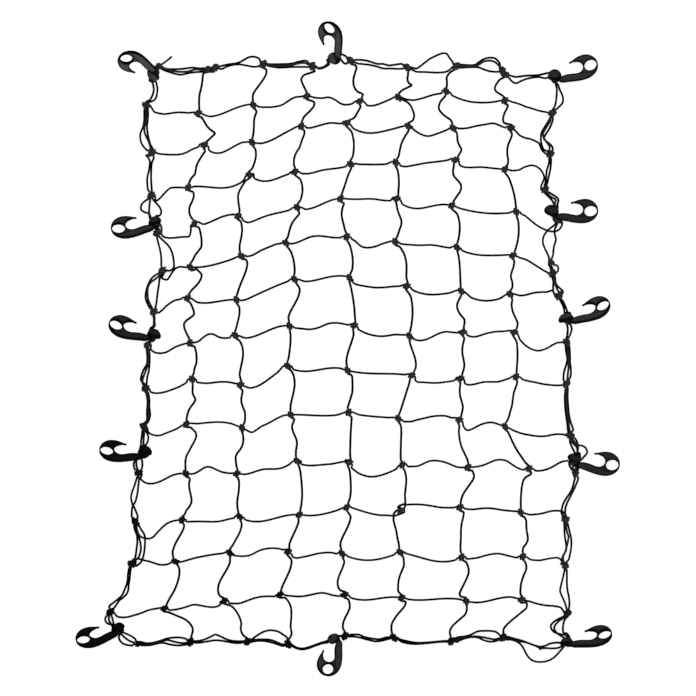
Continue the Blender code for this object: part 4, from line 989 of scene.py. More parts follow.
# The outer cord, 0, or the inner one, 1, all the way round from hook_01
def borderPath(which):
    hand = 1 - 2 * which
    points = []
    for i, (side, name, *strands) in enumerate(runs):
        start, end = places[name], places[following[name]]
        strand = strands[which]
        along = unit(flat(out[name][1], -out[name][0]))
        if name.startswith("hook"):
            before = endOf(runs[i - 1][2 + which], -1, names[i - 1])
            wound = winding(name, before, endOf(strand, 0, following[name]), which)
            if i == 0:  # both cords begin and close halfway round this neck
                half = len(wound) // 2
                closing, wound = wound[: half + 1], wound[half:]
            points += wound
        elif name in bundles and which == 1:
            points += coil(lifted(start, net["borderKnot"]), along, out[name])
        else:
            half, parted, rise = borderLay["bundle" if name in bundles else "knot"]
            for shift in (-half * d, 0, half * d):
                point = start + out[name] * hand * parted * d + along * shift
                points.append(lifted(point, net["borderKnot"] + hand * rise * d))
        away = flat(*outward[side])
        spots = strandSpots(start, end, strand, away, borderLay["shares"])
        given = isinstance(strand, list)
        fromHook, fromKnot = borderLay["given" if given else "swayed"]
        if not given:
            spots = [spot + away * hand * borderLay["apart"] for spot in spots]
        for spot in spots:
            for stop, place in ((name, start), (following[name], end)):
                if norm(spot[:2] - place) < (fromHook if stop.startswith("hook") else fromKnot * d):
                    break
            else:
                points.append(raised(spot, name))
    return points + closing


# The border's third strands, each laid over the others from one knot to the next
def extraStrands():
    found = []
    over = borderLay["third"] * d
    for _, name, _, _, *thirds in runs:
        start, end = places[name], places[following[name]]
        for strand in thirds:
            spots = [flat(*point) for point in strand]
            head, foot = (
                lifted(here + unit(there[:2] - here) * borderLay["third"] * d, net["borderKnot"])
                for here, there in ((start, spots[0]), (end, spots[-1]))
            )
            middle = []
            for spot in spots:
                if min(norm(spot[:2] - start), norm(spot[:2] - end)) > borderLay["clear"] * d:
                    middle.append(raised(spot, name) + flat(0, 0, over))
            found.append([head, *middle, foot])
    return found


rowAxes = {}
paths = {}
for number in range(1, len(rows) + 1):
    paths[f"rowCord{number:02d}"] = rowPath(number)
for number in range(1, len(columns) + 1):
    paths[f"columnCord{number}"] = columnPath(number)
paths["borderOuter"] = borderPath(0)
paths["borderInner"] = borderPath(1)
for number, strand in enumerate(extraStrands(), start=1):
    paths[f"borderThird{number}"] = strand
paths["freeTail"] = freeTail
chains = {name: smooth(points, net["step"]) for name, points in paths.items()}
print("cord paths", len(chains), "points", sum(len(c) for c in chains.values()))


# Cords that cross are laid over each other: where two are closer than a cord's width they are
# pushed apart, and the ground and the hooks push them out too.

settling = {
    "rounds": 40,
    "search": 8,  # rounds between two searches for close points
    "reach": 1.4,  # cord widths searched
    "skip": 4,  # points of one cord that are neighbours
    "push": 0.25,  # how much of an overlap each of the two cords gives way in a round
    "hookPush": 0.6,
    "nearHook": 30,
    "underCap": (3, 0.1),  # where the neck starts under the cap, and how much thinner it counts
    "shank": ((6, -6, 0), (24, -9, 0), 4.6),
}


# Round bars that stand for each hook's neck, the bend under it and the shank
def hookObstacles():
    neckEnd = capAt - capWay * hookForm["neckLength"]
    foot = Vector(hookForm["foot"])
    start, thinner = settling["underCap"]
    near, far, shank = settling["shank"]
    found = []
    for place in hookPlaces.values():
        for a, b, radius in (
            (capAt - capWay * start, neckEnd, hookForm["radius"] - thinner),
            (neckEnd, foot, hookForm["radius"]),
            (Vector(near), Vector(far), shank),
        ):
            found.append((np.array(place @ a), np.array(place @ b), radius))
    return found


# Pairs of points within reach of each other that aren't neighbours on one cord
def closePairs(points, chain, reach):
    tree = kdtree.KDTree(len(points))
    for i, point in enumerate(points):
        tree.insert(point, i)
    tree.balance()
    first, second = [], []
    for i, point in enumerate(points):
        for _, j, _ in tree.find_range(point, reach):
            if j > i and (chain[i] != chain[j] or j - i > settling["skip"]):
                first.append(i)
                second.append(j)
    return np.array(first, int), np.array(second, int)


# The same cords after they have pushed each other apart
def settle(chains):
    lengths = [len(chain) for chain in chains.values()]
    points = np.concatenate(list(chains.values()))
    chain = np.repeat(np.arange(len(lengths)), lengths)
    start = points.copy()
    obstacles = hookObstacles()
    same = chain[1:] == chain[:-1]
    inner = np.flatnonzero(same[1:] & same[:-1]) + 1
    for n in range(settling["rounds"]):
        if n % settling["search"] == 0:
            first, second = closePairs(points, chain, d * settling["reach"])
        gap = points[second] - points[first]
        far = norm(gap, axis=1)
        hit = far < d
        push = gap[hit] / np.maximum(far[hit], net["closest"])[:, None]
        push = push * (d - far[hit])[:, None] * settling["push"]
        np.add.at(points, second[hit], push)
        np.add.at(points, first[hit], -push)
        for a, b, radius in obstacles:
            near = np.flatnonzero(norm(points - (a + b) / 2, axis=1) < settling["nearHook"])
            line = b - a
            along = np.clip((points[near] - a) @ line / (line @ line), 0, 1)
            away = points[near] - (a + along[:, None] * line)
            dist = norm(away, axis=1)
            inside = dist < radius + r
            shove = away[inside] / dist[inside, None] * (radius + r - dist[inside])[:, None]
            points[near[inside]] += shove * settling["hookPush"]
        moved = points - start  # half of each push is shared with the points beside it
        moved[inner] = moved[inner] * 0.5 + (moved[inner - 1] + moved[inner + 1]) * 0.25
        points = start + moved
        points[:, 2] = np.maximum(points[:, 2], r)
    print("settled", int(hit.sum()), "still touching, largest", round(float(d - far.min()), 2))
    return dict(zip(chains, np.split(points, np.cumsum(lengths)[:-1])))


chains = settle(chains)


# A node with its settings, and its inputs set to values or linked to sockets
def addNode(tree, kind, inputs=None, **settings):
    node = tree.nodes.new(kind)
    for key, value in settings.items():
        setattr(node, key, value)
    for key, value in (inputs or {}).items():
        if isinstance(value, bpy.types.NodeSocket):
            tree.links.new(value, node.inputs[key])
        else:
            node.inputs[key].default_value = value
    return node


# A node group with its named inputs and outputs
def nodeGroup(name, kind, inputs, outputs):
    tree = bpy.data.node_groups.new(name, kind)
    for way, sockets in (("INPUT", inputs), ("OUTPUT", outputs)):
        for label, value in sockets.items():
            tree.interface.new_socket(label, in_out=way, socket_type="NodeSocket" + value)
    return tree, tree.nodes.new("NodeGroupInput").outputs


# A Math node over sockets and numbers, and its result
def maths(tree, operation, *values):
    return addNode(tree, "ShaderNodeMath", dict(enumerate(values)), operation=operation).outputs[0]


# Cords: their shape, swept along each path by one node tree

sweep = {
    "sides": 10,
    "turn": 11,  # degrees between two kept points, and mm between them where the cord is straight
    "longest": 7.0,
    "pitch": 2.4,
    "end": ((0, 0), (0.25, 0.7), (1, 1)),  # half widths from a cut end, and how thick it is there
    "clearEnd": 1.6,
    "weld": 1e-6,
}
# Raised cord is painted grey as a painted sheen where it catches the light, less so towards the bottom
# left corner and along the bottom border
sheenPainting = {
    "height": 3.6,  # a cord that lies higher than this gets the painted sheen,
    "rise": 2.4,  # and fully so this much further up
    "third": 0.6,  # the least for the border's third strands
    "lean": 0.7,  # how much the way out of the corner leans to the right,
    "from": -540,  # where it starts and how far it goes
    "over": 340,
    "least": 0.2,
    "bottom": -418,
    "bottomShare": 0.5,
}


def cordTree():
    shape = {"Geometry": "Geometry"}
    inputs = {**shape, "Radius": "Float", "Sides": "Int", "Pitch": "Float", "Finish": "Material"}
    tree, given = nodeGroup("cordSweep", "GeometryNodeTree", inputs, shape)

    def add(kind, output, inputs=None, **settings):
        return addNode(tree, kind, inputs, **settings).outputs[output]

    def kept(curve, name, value):
        node = tree.nodes.new("GeometryNodeCaptureAttribute")
        node.capture_items.new("FLOAT", name)
        tree.links.new(curve, node.inputs["Geometry"])
        tree.links.new(value, node.inputs[name])
        return node.outputs["Geometry"], node.outputs[name]

    path = add("GeometryNodeMeshToCurve", "Curve", {"Mesh": given["Geometry"]})
    thick = add("GeometryNodeInputNamedAttribute", "Attribute", {"Name": "thick"})
    path = add("GeometryNodeSetCurveRadius", "Curve", {"Curve": path, "Radius": thick})
    path, along = kept(path, "Along", add("GeometryNodeSplineParameter", "Length"))
    ring = {"Resolution": maths(tree, "ADD", given["Sides"], 1), "Radius": given["Radius"]}
    ring.update({"Sweep Angle": 2 * math.pi, "Connect Center": False})
    ring = add("GeometryNodeCurveArc", "Curve", ring)
    ring, around = kept(ring, "Around", add("GeometryNodeSplineParameter", "Factor"))
    shape = add("GeometryNodeCurveToMesh", "Mesh", {"Curve": path, "Profile Curve": ring})
    turns = maths(tree, "DIVIDE", along, given["Pitch"])
    uv = add("ShaderNodeCombineXYZ", "Vector", {"X": turns, "Y": around})
    kind = {"data_type": "FLOAT2", "domain": "CORNER"}
    for step, inputs, settings in (
        ("StoreNamedAttribute", {"Name": "UVMap", "Value": uv}, kind),
        ("MergeByDistance", {"Distance": sweep["weld"]}, {}),
        ("SetShadeSmooth", {}, {}),
        ("RealizeInstances", {}, {}),
        ("SetMaterial", {"Material": given["Finish"]}, {}),
    ):
        shape = add("GeometryNode" + step, "Geometry", {"Geometry": shape, **inputs}, **settings)
    addNode(tree, "NodeGroupOutput", {"Geometry": shape})
    return tree


# Fewer points where a cord runs straight, and all its points where it turns
def thinned(chain):
    ahead = np.diff(chain, axis=0)
    ahead /= norm(ahead, axis=1)[:, None]
    kept, last, run = [0], ahead[0], 0.0
    for i in range(1, len(chain) - 1):
        run += net["step"]
        turned = math.degrees(math.acos(min(max(float(last @ ahead[i]), -1), 1)))
        if turned > sweep["turn"] or run > sweep["longest"]:
            kept.append(i)
            last, run = ahead[i], 0.0
    return chain[kept + [len(chain) - 1]]


# How much painted sheen greys the cord at each point of its line
def paintedSheenThere(name, line):
    x, y, z = line.T
    least = sheenPainting["third"] if name.startswith("borderThird") else 0
    paintedSheen = np.clip((z - sheenPainting["height"]) / sheenPainting["rise"], least, 1)
    across = (sheenPainting["lean"] * x + y - sheenPainting["from"]) / sheenPainting["over"]
    paintedSheen *= np.clip(across, sheenPainting["least"], 1)
    paintedSheen[y < sheenPainting["bottom"]] *= sheenPainting["bottomShare"]
    return paintedSheen


# One cord with domed ends, swept, and the mesh left plain
def makeCord(name, chain):
    line = thinned(chain)
    first, last = unit(line[1] - line[0]), unit(line[-1] - line[-2])
    ends = sweep["end"]
    head = [line[0] + first * away * r for away, _ in ends]
    foot = [line[-1] - last * away * r for away, _ in ends[::-1]]
    room = sweep["clearEnd"] * r
    body = [p for p in line[1:-1] if min(norm(p - line[0]), norm(p - line[-1])) > room]
    line = np.array(head + body + foot)
    thick = np.ones(len(line))
    thick[: len(ends)] = [size for _, size in ends]
    thick[-len(ends) :] = [size for _, size in ends[::-1]]
    mesh = bpy.data.meshes.new(name)
    mesh.from_pydata(line * mm, [(i, i + 1) for i in range(len(line) - 1)], [])
    # paintedSheen: a painted highlight on raised cord
    for label, values in (("thick", thick), ("paintedSheen", paintedSheenThere(name, line))):
        attribute = mesh.attributes.new(label, "FLOAT", "POINT")
        attribute.data.foreach_set("value", values.astype(np.float32))
    obj = inScene(name, mesh)
    modifier = obj.modifiers.new("sweep", "NODES")
    modifier.node_group = sweepTree
    across = next(size for kind, size in net["across"].items() if name.startswith(kind))
    inputs = {"Radius": across / 2 * mm, "Pitch": sweep["pitch"] * mm}
    inputs.update({"Sides": sweep["sides"], "Finish": sheath})
    for item in sweepTree.interface.items_tree:
        if item.in_out == "INPUT" and item.name in inputs:
            modifier[item.identifier] = inputs[item.name]
    graph = bpy.context.evaluated_depsgraph_get()
    mesh = bpy.data.meshes.new_from_object(obj.evaluated_get(graph), depsgraph=graph)
    mesh.name = name
    obj.modifiers.clear()
    obj.data = mesh
    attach(obj, "root")
    return obj


# Noise over an object's own coordinates
def noise(tree, scale, detail):
    place = addNode(tree, "ShaderNodeTexCoord").outputs["Object"]
    inputs = {"Vector": place, "Scale": scale, "Detail": detail}
    return addNode(tree, "ShaderNodeTexNoise", inputs).outputs[0]


# The weave of a braided sheath: two sets of helices from a cord's own UV
def braidGroup():
    outputs = {"Height": "Float", "Tone": "Float"}
    tree, given = nodeGroup("braid", "ShaderNodeTree", {"Strands": "Float"}, outputs)
    uv = addNode(tree, "ShaderNodeUVMap", uv_map="UVMap").outputs["UV"]
    parts = addNode(tree, "ShaderNodeSeparateXYZ", {0: uv}).outputs
    lengthwise, around = (maths(tree, "MULTIPLY", parts[axis], 2 * math.pi) for axis in "XY")
    helix = maths(tree, "MULTIPLY", around, given["Strands"])
    rising = maths(tree, "SINE", maths(tree, "ADD", lengthwise, helix))
    falling = maths(tree, "SINE", maths(tree, "SUBTRACT", lengthwise, helix))
    height = maths(tree, "MULTIPLY_ADD", maths(tree, "MULTIPLY", rising, falling), 0.5, 0.5)
    tone = maths(tree, "MULTIPLY", noise(tree, scale=260, detail=3), height)
    addNode(tree, "NodeGroupOutput", {"Height": height, "Tone": tone})
    return tree


# A colour between a and b
def mixed(tree, factor, a, b):
    node = addNode(tree, "ShaderNodeMix", {"Factor": factor}, data_type="RGBA")
    for socket, colour in zip([s for s in node.inputs if s.type == "RGBA"], (a, b)):
        if isinstance(colour, tuple):
            socket.default_value = (*colour, 1)
        else:
            tree.links.new(colour, socket)
    return [s for s in node.outputs if s.type == "RGBA"][0]


# A number that a mesh holds at each point, read by a material
def held(tree, name):
    return addNode(tree, "ShaderNodeAttribute", attribute_name=name).outputs["Fac"]


def newMaterial(name, values):
    made = bpy.data.materials.new(name)
    made.use_nodes = True
    shader = made.node_tree.nodes["Principled BSDF"]
    for key, value in values.items():
        shader.inputs[key].default_value = value
    return made, made.node_tree, shader.inputs


# A bump over a shader's whole surface: its strength, and its height in metres
def bumped(tree, sockets, relief, strength, height):
    bump = addNode(tree, "ShaderNodeBump", {"Strength": strength, "Distance": height, "Height": relief})
    tree.links.new(bump.outputs["Normal"], sockets["Normal"])


def cordMaterial():
    look = {
        "dark": (0.0008, 0.0008, 0.0009),
        "light": (0.003, 0.003, 0.0032),
        # the grey of the painted sheen
        "paintedSheen": (0.066, 0.066, 0.067),
        "base": 0.4,  # how much of the painted sheen's grey shows between the strands of the braid
        "strands": 8,
        "rough": 0.6,
        "specular": 0.02,
        "bump": (0.35, 0.0002),
    }
    even = {"Roughness": look["rough"], "Specular IOR Level": look["specular"]}
    made, tree, sockets = newMaterial("elasticSheath", even)
    strands = {"Strands": look["strands"]}
    braid = addNode(tree, "ShaderNodeGroup", strands, node_tree=braidGroup()).outputs
    slack = mixed(tree, braid["Tone"], look["dark"], look["light"])
    share = maths(tree, "ADD", braid["Tone"], look["base"])
    # the painted sheen greys the raised cord
    share = maths(tree, "MULTIPLY", held(tree, "paintedSheen"), share)
    tree.links.new(mixed(tree, share, slack, look["paintedSheen"]), sockets["Base Color"])
    bumped(tree, sockets, braid["Height"], *look["bump"])
    return made


sheath = cordMaterial()
sweepTree = cordTree()
cords = {name: makeCord(name, chain) for name, chain in chains.items()}
for number in range(1, len(rows) + 1):
    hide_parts(f"row_cord_{number:02d}")
for number in range(1, len(columns) + 1):
    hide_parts(f"column_cord_{number}")
outerNodes = [f"{kind}_{n:02d}" for kind in ("border_outer", "lashing") for n in range(1, 13)]
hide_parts(*outerNodes)
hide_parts(*[f"border_inner_{side}" for side in border])
float(spans(chains["freeTail"]).sum()) * mm
total = sum(float(spans(chain).sum()) for chain in chains.values())
print("cords swept", len(cords), "length in m", round(total * mm, 2))


# Hooks

# The outline of a hook in its own plane: from the neck along the inside, round the mouth to the
# point, and back round the outside
hookShape = {
    "outline": (
        (-1.5, -3.0), (3.0, -1.3), (9.5, -0.9), (16.0, -1.6), (23.0, -3.3), (29.0, -4.8),
        (34.0, -4.9), (38.6, -3.0), (41.6, 0.2), (42.6, 4.2), (41.4, 8.3), (38.2, 11.3),
        (33.4, 13.1), (28.8, 13.9), (25.6, 13.4), (23.7, 13.5), (22.9, 14.9), (23.8, 16.3),
        (25.7, 16.4), (29.6, 17.4), (36.2, 19.2), (43.6, 20.2), (51.0, 19.6), (57.6, 16.8),
        (62.6, 12.4), (65.8, 6.4), (66.5, -0.6), (64.4, -7.2), (59.4, -12.9), (52.6, -16.7),
        (44.6, -18.5), (36.0, -18.4), (27.0, -17.1), (18.0, -15.0), (10.0, -13.0), (3.2, -11.4),
        (-1.3, -8.6),
    ),
    "eye": {"middle": (54.4, 0.2), "radii": (10.2, 8.1), "tilt": 12, "points": 44},
    "crease": ((63.0, -10.0), (57.0, -12.2), (50.0, -11.2), (43.0, -9.0), (36.5, -7.2), (30.0, -6.8)),
    "creaseCut": (0.5, 0.6),  # its depth, and half its width
    "fillet": 1.7,
    "crown": (0.55, 3),  # its height, and how far in it is reached
    "slim": {"x": (42, 18), "y": (9, 3), "by": 0.5},  # towards the tip: from, over
    "rim": (1.3, 2.7),  # the painted shade along the edges is full to here, and gone from here
    # painted shade in the crease: how dark at most, and its half width
    "creaseShade": (0.9, 0.8),
    # painted shade round the point's tip: where, how far it reaches, and how far it fades
    "tip": {"at": (24.3, 14.9), "dark": (4.5, 2)},
    "parting": (0.12, 0.22),  # the moulding line: how far it stands out, and half its height
    "sharp": 50,
}
# The points that its flat is cut into: along the edges, in lines inside them and beside the
# crease, and on a grid that keeps its room from both
hookPoints = {
    "step": 1.15,
    "loops": (0.3, 0.8, 1.35, 1.9),
    "kept": 0.93,
    "crease": {"step": 1.5, "lines": (-1.0, -0.45, 0, 0.45, 1.0), "room": 2.1},
    "grid": {"x": (-4, 70, 2.2), "y": (-20, 23, 1.9), "shift": 1.1, "room": 2.5, "crease": 1.4},
}


# Even points round a smooth closed line
def closedSpline(points, step):
    ring = [flat(*p, 0) for p in points]
    line = smooth(ring[-2:] + ring + ring[:2], step / 4)
    near = norm(line - ring[0], axis=1)
    half = len(line) // 2
    line = line[np.argmin(near[:half]) : half + np.argmin(near[half:]) + 1]
    return evened(line, step)[:-1, :2]


# The unit normal at each point of a ring, to the left of its way round
def inward(ring):
    ahead = np.roll(ring, -1, axis=0) - np.roll(ring, 1, axis=0)
    ahead /= norm(ahead, axis=1)[:, None]
    return np.stack([-ahead[:, 1], ahead[:, 0]], axis=1)


# Distance of each point from a line
def lineDistance(points, line):
    best = np.full(len(points), 1e9)
    for a, b in zip(line[:-1], line[1:]):
        way = b - a
        along = np.clip((points - a) @ way / (way @ way), 0, 1)
        best = np.minimum(best, norm(points - a - along[:, None] * way, axis=1))
    return best


# Distance of each point from the nearest edge of these rings
def edgeDistance(points, rings):
    return np.min([lineDistance(points, np.vstack([ring, ring[:1]])) for ring in rings], axis=0)


# Which points lie inside the first ring and outside the second
def within(points, rings):
    found = []
    for ring in rings:
        count = np.zeros(len(points), int)
        for a, b in zip(ring, np.roll(ring, -1, axis=0)):
            crosses = (a[1] > points[:, 1]) != (b[1] > points[:, 1])
            safe = b[1] - a[1] if abs(b[1] - a[1]) > 1e-12 else 1e-12
            x = a[0] + (points[:, 1] - a[1]) * (b[0] - a[0]) / safe
            count += crosses & (points[:, 0] < x)
        found.append(count % 2 == 1)
    return found[0] & ~found[1]


# Places round an oval
def oval(wide, tall, count, way=1):
    turns = [way * 2 * math.pi * k / count for k in range(count)]
    return [(wide * math.cos(turn), tall * math.sin(turn)) for turn in turns]


# The flat of a hook: its points, how far each is from the edge and from the crease, its
# triangles, and how many of the first points are the outline and the eye
def hookFace():
    outline = closedSpline(hookShape["outline"], hookPoints["step"])
    if np.cross(outline, np.roll(outline, -1, axis=0)).sum() < 0:
        outline = outline[::-1]
    hole = hookShape["eye"]
    (x0, y0), turn = hole["middle"], math.radians(hole["tilt"])
    cos, sin = math.cos(turn), math.sin(turn)
    eye = oval(*hole["radii"], hole["points"], -1)
    eye = [(x0 + x * cos - y * sin, y0 + x * sin + y * cos) for x, y in eye]
    rings = [outline, np.array(eye)]
    sizes = [len(ring) for ring in rings]
    inner = [ring + inward(ring) * offset for offset in hookPoints["loops"] for ring in rings]
    asked = np.repeat(hookPoints["loops"], sum(sizes))
    inner = np.concatenate(inner)
    inner = inner[edgeDistance(inner, rings) > asked * hookPoints["kept"]]
    lines, mesh = hookPoints["crease"], hookPoints["grid"]
    crease = smooth([flat(*p, 0) for p in hookShape["crease"]], lines["step"])[:, :2]
    side = np.diff(crease, axis=0)
    side = np.vstack([side, side[-1:]])
    side = np.stack([-side[:, 1], side[:, 0]], axis=1) / norm(side, axis=1)[:, None]
    beside = np.concatenate([crease + side * offset for offset in lines["lines"]])
    xs, ys = np.meshgrid(np.arange(*mesh["x"]), np.arange(*mesh["y"]))
    xs[1::2] += mesh["shift"]
    grid = np.stack([xs.ravel(), ys.ravel()], axis=1)
    grid = grid[lineDistance(grid, crease) > mesh["crease"]]
    for extra, room in ((beside, lines["room"]), (grid, mesh["room"])):
        fits = within(extra, rings) & (edgeDistance(extra, rings) > room)
        inner = np.concatenate([inner, extra[fits]])
    edges = []
    for start, size in zip((0, sizes[0]), sizes):
        edges += [(start + i, start + (i + 1) % size) for i in range(size)]
    points = [Vector(p) for p in np.concatenate(rings + [inner])]
    made = delaunay_2d_cdt(points, edges, [], 0, 1e-5)
    points = np.array([tuple(p) for p in made[0]])
    faces = [tuple(f) for f in made[2]]
    keep = within(np.array([points[list(f)].mean(axis=0) for f in faces]), rings)
    faces = [f for f, k in zip(faces, keep) if k]
    depth = edgeDistance(points, rings)
    depth[: sum(sizes)] = 0
    return points, depth, lineDistance(points, crease), faces, sizes


# Half the thickness of a hook at each point of its flat, thinner at its tip
def faceHeights(points, depth, crease):
    fillet, (crown, inTo), (cut, half) = (hookShape[key] for key in ("fillet", "crown", "creaseCut"))
    wall = hookForm["thick"] / 2 - fillet - crown
    inFillet = np.clip(depth / fillet, 0, 1)
    height = wall + fillet * np.sqrt(np.clip(1 - (1 - inFillet) ** 2, 0, 1))
    height += crown * (1 - np.exp(-np.maximum(depth - fillet, 0) / inTo))
    height -= cut * np.exp(-((crease / half) ** 2)) * (depth > 0.2)
    slim = hookShape["slim"]
    (x, overX), (y, overY) = slim["x"], slim["y"]
    nearTip = np.clip((x - points[:, 0]) / overX, 0, 1) * np.clip((points[:, 1] - y) / overY, 0, 1)
    nearTip = nearTip * nearTip * (3 - 2 * nearTip)
    return height * (1 - slim["by"] * nearTip)


# How much painted shade darkens each point of a hook's flat: along its edges, in its crease and round
# the point's tip
def paintedEdgeShade(points, depth, crease):
    (inner, outer), (most, half), tip = (hookShape[key] for key in ("rim", "creaseShade", "tip"))
    share = np.clip((outer - depth) / (outer - inner), 0, 1)
    share = np.maximum(share, most * np.exp(-((crease / half) ** 2)))
    reach, over = tip["dark"]
    away = norm(points - flat(*tip["at"]), axis=1)
    return np.maximum(share, np.clip((reach - away) / over, 0, 1))


# A new mesh from a shape, with its faces outwards
def meshFrom(shape, name):
    bmesh.ops.recalc_face_normals(shape, faces=shape.faces)
    mesh = bpy.data.meshes.new(name)
    shape.to_mesh(mesh)
    shape.free()
    return mesh


# Faces between rings of points that lie one after another; a ring may be a single point
def bridge(shape, rings):
    for a, b in zip(rings[:-1], rings[1:]):
        size = max(len(a), len(b))
        for k in range(size):
            n = (k + 1) % size
            if len(a) == 1:
                shape.faces.new((a[0], b[n], b[k]))
            elif len(b) == 1:
                shape.faces.new((a[k], a[n], b[0]))
            else:
                shape.faces.new((a[k], a[n], b[n], b[k]))


# A whole hook in its own frame, in millimetres
def hookMesh():
    points, depth, crease, faces, sizes = hookFace()
    height = faceHeights(points, depth, crease)
    share = paintedEdgeShade(points, depth, crease)
    shape = bmesh.new()
    layer = shape.verts.layers.float.new("rim")
    top = [shape.verts.new((*p, h)) for p, h in zip(points, height)]
    bottom = [shape.verts.new((*p, -h)) for p, h in zip(points, height)]
    for vert, value in zip(top + bottom, np.tile(share, 2)):
        vert[layer] = value
    for a, b, c in faces:
        shape.faces.new((top[a], top[b], top[c]))
        shape.faces.new((bottom[c], bottom[b], bottom[a]))
    out, half = hookShape["parting"]
    start = 0
    for size in sizes:
        ring = points[start : start + size]
        ridge = [shape.verts.new((*p, 0)) for p in ring + -inward(ring) * out]
        over, under = ([shape.verts.new((*p, z)) for p in ring] for z in (half, -half))
        # the sides and the moulding line are painted fully in shade
        for vert in ridge + over + under:
            vert[layer] = 1.0
        edge = slice(start, start + size)
        levels = (top[edge], over, ridge, under, bottom[edge])
        for i in range(size):
            j = (i + 1) % size
            for a, b in zip(levels[:-1], levels[1:]):
                shape.faces.new((a[i], b[i], b[j], a[j]))
        start += size
    return meshFrom(shape, "hookBody")


# The knob is a mushroom cap on a short neck: radius and distance along the cap's own way
capShape = {
    "profile": (
        (0.0, 7.0), (1.4, 7.1), (2.6, 7.6), (3.6, 7.75), (5.0, 7.25), (6.6, 6.35), (8.1, 5.1),
        (9.4, 3.5), (10.5, 1.7), (10.8, 0.0), (10.6, -1.5), (9.6, -2.7), (8.2, -3.3),
        (6.0, -3.5), (4.2, -3.7), (3.0, -4.2),
    ),
    "sides": 32,
    "paintedLitFace": (2.7, 10, 1.0),  # the face left lit by the painted shade: from this radius to that one, above this height
    # painted shade: light on the face left lit, dark round the edge and on the neck under the cap
    "rim": {"paintedLitFace": 0.15, "edge": 0.95, "neck": 0.9},
    "neck": (5, 7.5),  # points of the neck, this far under the cap's middle
    "bend": 0.35,
    "neckStep": 1.6,
    "flare": 0.15,
}


def capMesh():
    shape = bmesh.new()
    layer = shape.verts.layers.float.new("rim")
    sides, tones = capShape["sides"], capShape["rim"]
    least, most, above = capShape["paintedLitFace"]
    rings = []
    for radius, height in capShape["profile"]:
        spots = oval(radius, radius, sides)[: 1 if radius == 0 else sides]
        rings.append([shape.verts.new((*spot, height)) for spot in spots])
        for vert in rings[-1]:
            # painted shade, dark round the edge and light on the face
            vert[layer] = tones["paintedLitFace" if least < radius < most and height > above else "edge"]
    turn = capWay.to_track_quat("Z", "Y").to_matrix()
    for vert in shape.verts:
        vert.co = capAt + turn @ vert.co
    neckEnd = capAt - capWay * hookForm["neckLength"]
    foot = Vector(hookForm["foot"])
    line = [capAt - capWay * below for below in capShape["neck"]]
    line = smooth(line + [neckEnd, neckEnd.lerp(foot, capShape["bend"]), foot], capShape["neckStep"])
    for i, point in enumerate(line):
        ahead = Vector(unit(line[min(i + 1, len(line) - 1)] - line[max(i - 1, 0)]))
        turn = ahead.to_track_quat("-Z", "Y").to_matrix()
        radius = hookForm["radius"] * (1 + capShape["flare"] * i / len(line))
        spots = [Vector(point) + turn @ Vector((*spot, 0)) for spot in oval(radius, radius, sides)]
        ring = [shape.verts.new(spot) for spot in spots]
        # painted shade on the neck under the cap
        for vert in ring:
            vert[layer] = tones["neck"]
        if i == 0:  # the cap's rings are turned to meet the neck's
            turned = min(range(sides), key=lambda k: (rings[-1][k].co - ring[0].co).length)
            rings = [loop[turned:] + loop[:turned] if len(loop) > 1 else loop for loop in rings]
        rings.append(ring)
    bridge(shape, rings + [[shape.verts.new(foot)]])
    return meshFrom(shape, "hookCap")


# The fine uneven skin of moulded plastic
def grainGroup():
    outputs = {"Fine": "Float", "Broad": "Float"}
    tree, given = nodeGroup("grain", "ShaderNodeTree", {"Scale": "Float"}, outputs)
    fine = noise(tree, scale=given["Scale"], detail=4)
    broad = noise(tree, scale=maths(tree, "MULTIPLY", given["Scale"], 0.06), detail=3)
    addNode(tree, "NodeGroupOutput", {"Fine": fine, "Broad": broad})
    return tree


def plasticMaterial():
    look = {
        # the face's black, the grey of its painted sheen, and the black of the painted shade at its
        # edges
        "dark": (0.004, 0.004, 0.004),
        "light": (0.085, 0.085, 0.086),
        "rim": (0.0006, 0.0006, 0.0006),
        "mottle": (0.6, 0.7),
        "rough": (0.34, 0.46),
        "rimRough": 0.3,
        "specular": 0.07,
        "grain": 900,
        "bump": (0.12, 0.0002),
    }
    made, tree, sockets = newMaterial("hookPlastic", {"Specular IOR Level": look["specular"]})
    grain = addNode(tree, "ShaderNodeGroup", {"Scale": look["grain"]}, node_tree=grainGroup()).outputs
    rim = held(tree, "rim")
    mottled = maths(tree, "MULTIPLY_ADD", grain["Broad"], *look["mottle"])
    # painted light: each hook's own grey for how the light falls on its face, mottled
    paintedLight = maths(tree, "MULTIPLY", held(tree, "paintedLitFace"), mottled)
    face = mixed(tree, paintedLight, look["dark"], look["light"])
    # painted shade darkens the edges, the crease and the tip
    tree.links.new(mixed(tree, rim, face, look["rim"]), sockets["Base Color"])
    low, high = look["rough"]
    rough = maths(tree, "MULTIPLY_ADD", grain["Broad"], high - low, low)
    tree.links.new(maths(tree, "MULTIPLY_ADD", rim, look["rimRough"], rough), sockets["Roughness"])
    bumped(tree, sockets, grain["Fine"], *look["bump"])
    return made


# Moves and stretches a cap flat over the ground until it fills its box
def fitCap(shape, box):
    shape.verts.ensure_lookup_table()
    count = 1 + capShape["sides"] * (len(capShape["profile"]) - 1)
    verts = [shape.verts[i] for i in range(count)]
    for k in range(2):
        low, high = min(v.co[k] for v in verts), max(v.co[k] for v in verts)
        stretch = box[k + 2] / (high - low)
        for vert in verts:
            vert.co[k] = box[k] + (vert.co[k] - (low + high) / 2) * stretch


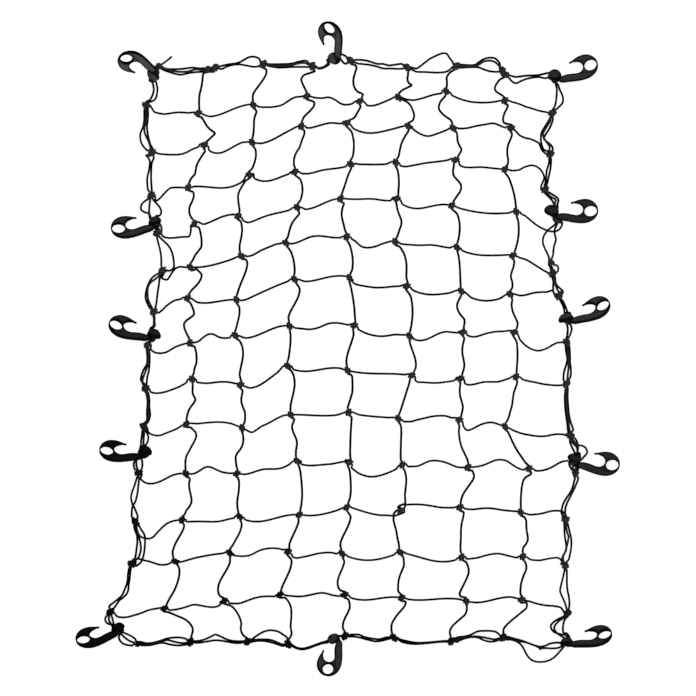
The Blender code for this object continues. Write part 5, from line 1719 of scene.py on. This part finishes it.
def makeHooks():
    plastic = plasticMaterial()
    body, cap = hookMesh(), capMesh()
    for name, _, _, hand, _, _, box, paintedLitFace in hooks:
        shape = bmesh.new()
        shape.from_mesh(cap)
        shape.from_mesh(body)
        shape.transform(hookPlaces[name])
        fitCap(shape, box)
        shape.transform(Matrix.Scale(mm, 4))
        if hand < 0:
            bmesh.ops.reverse_faces(shape, faces=shape.faces)
        mesh = bpy.data.meshes.new(name)
        shape.to_mesh(mesh)
        shape.free()
        mesh.shade_smooth()
        mesh.set_sharp_from_angle(angle=math.radians(hookShape["sharp"]))
        mesh.materials.append(plastic)
        # the hook's painted light, a grey for how the light falls on its face
        attribute = mesh.attributes.new("paintedLitFace", "FLOAT", "POINT")
        attribute.data.foreach_set("value", np.full(len(mesh.vertices), paintedLitFace, np.float32))
        obj = inScene(name.replace("hook_", "hook"), mesh)
        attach(obj, "root")
        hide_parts(name)
    print("hooks made", len(hooks), "faces each", len(mesh.polygons))


makeHooks()

# Floor and light

studio = {
    "paper": {
        "Base Color": (0.62, 0.62, 0.62, 1),
        "Roughness": 0.9,
        "Specular IOR Level": 0.1,
        "Emission Color": (1, 1, 1, 1),
        "Emission Strength": 0.78,
    },
    "half": 6,
    "height": -0.0002,
    "lights": {
        "key": {"at": (0.2, 1.9, 2.6), "size": 2.4, "power": 34},
        "fill": {"at": (0.0, -0.2, 3.8), "size": 4.4, "power": 34},
        "front": {"at": (0.9, -3.2, 1.4), "size": 2.4, "power": 60},
    },
    "world": 0.05,
}


def makeStudio():
    half = studio["half"]
    corners = [(-half, -half, 0), (half, -half, 0), (half, half, 0), (-half, half, 0)]
    mesh = bpy.data.meshes.new("floor")
    mesh.from_pydata(corners, [], [(0, 1, 2, 3)])
    mesh.materials.append(newMaterial("paper", studio["paper"])[0])
    floor = inScene("floor", mesh)
    floor.location.z = studio["height"]
    floor.visible_glossy = False
    for name, look in studio["lights"].items():
        data = bpy.data.lights.new(name, "AREA")
        data.size, data.energy = look["size"], look["power"]
        lamp = inScene(name, data)
        lamp.location = look["at"]
        lamp.rotation_mode = "QUATERNION"
        lamp.rotation_quaternion = Vector(look["at"]).to_track_quat("Z", "Y")
    world = bpy.data.worlds.new("studio")
    world.use_nodes = True
    background = world.node_tree.nodes["Background"].inputs
    background["Color"].default_value = (1, 1, 1, 1)
    background["Strength"].default_value = studio["world"]
    bpy.context.scene.world = world
    bpy.context.scene.view_settings.view_transform = "Standard"


makeStudio()
print("studio made")
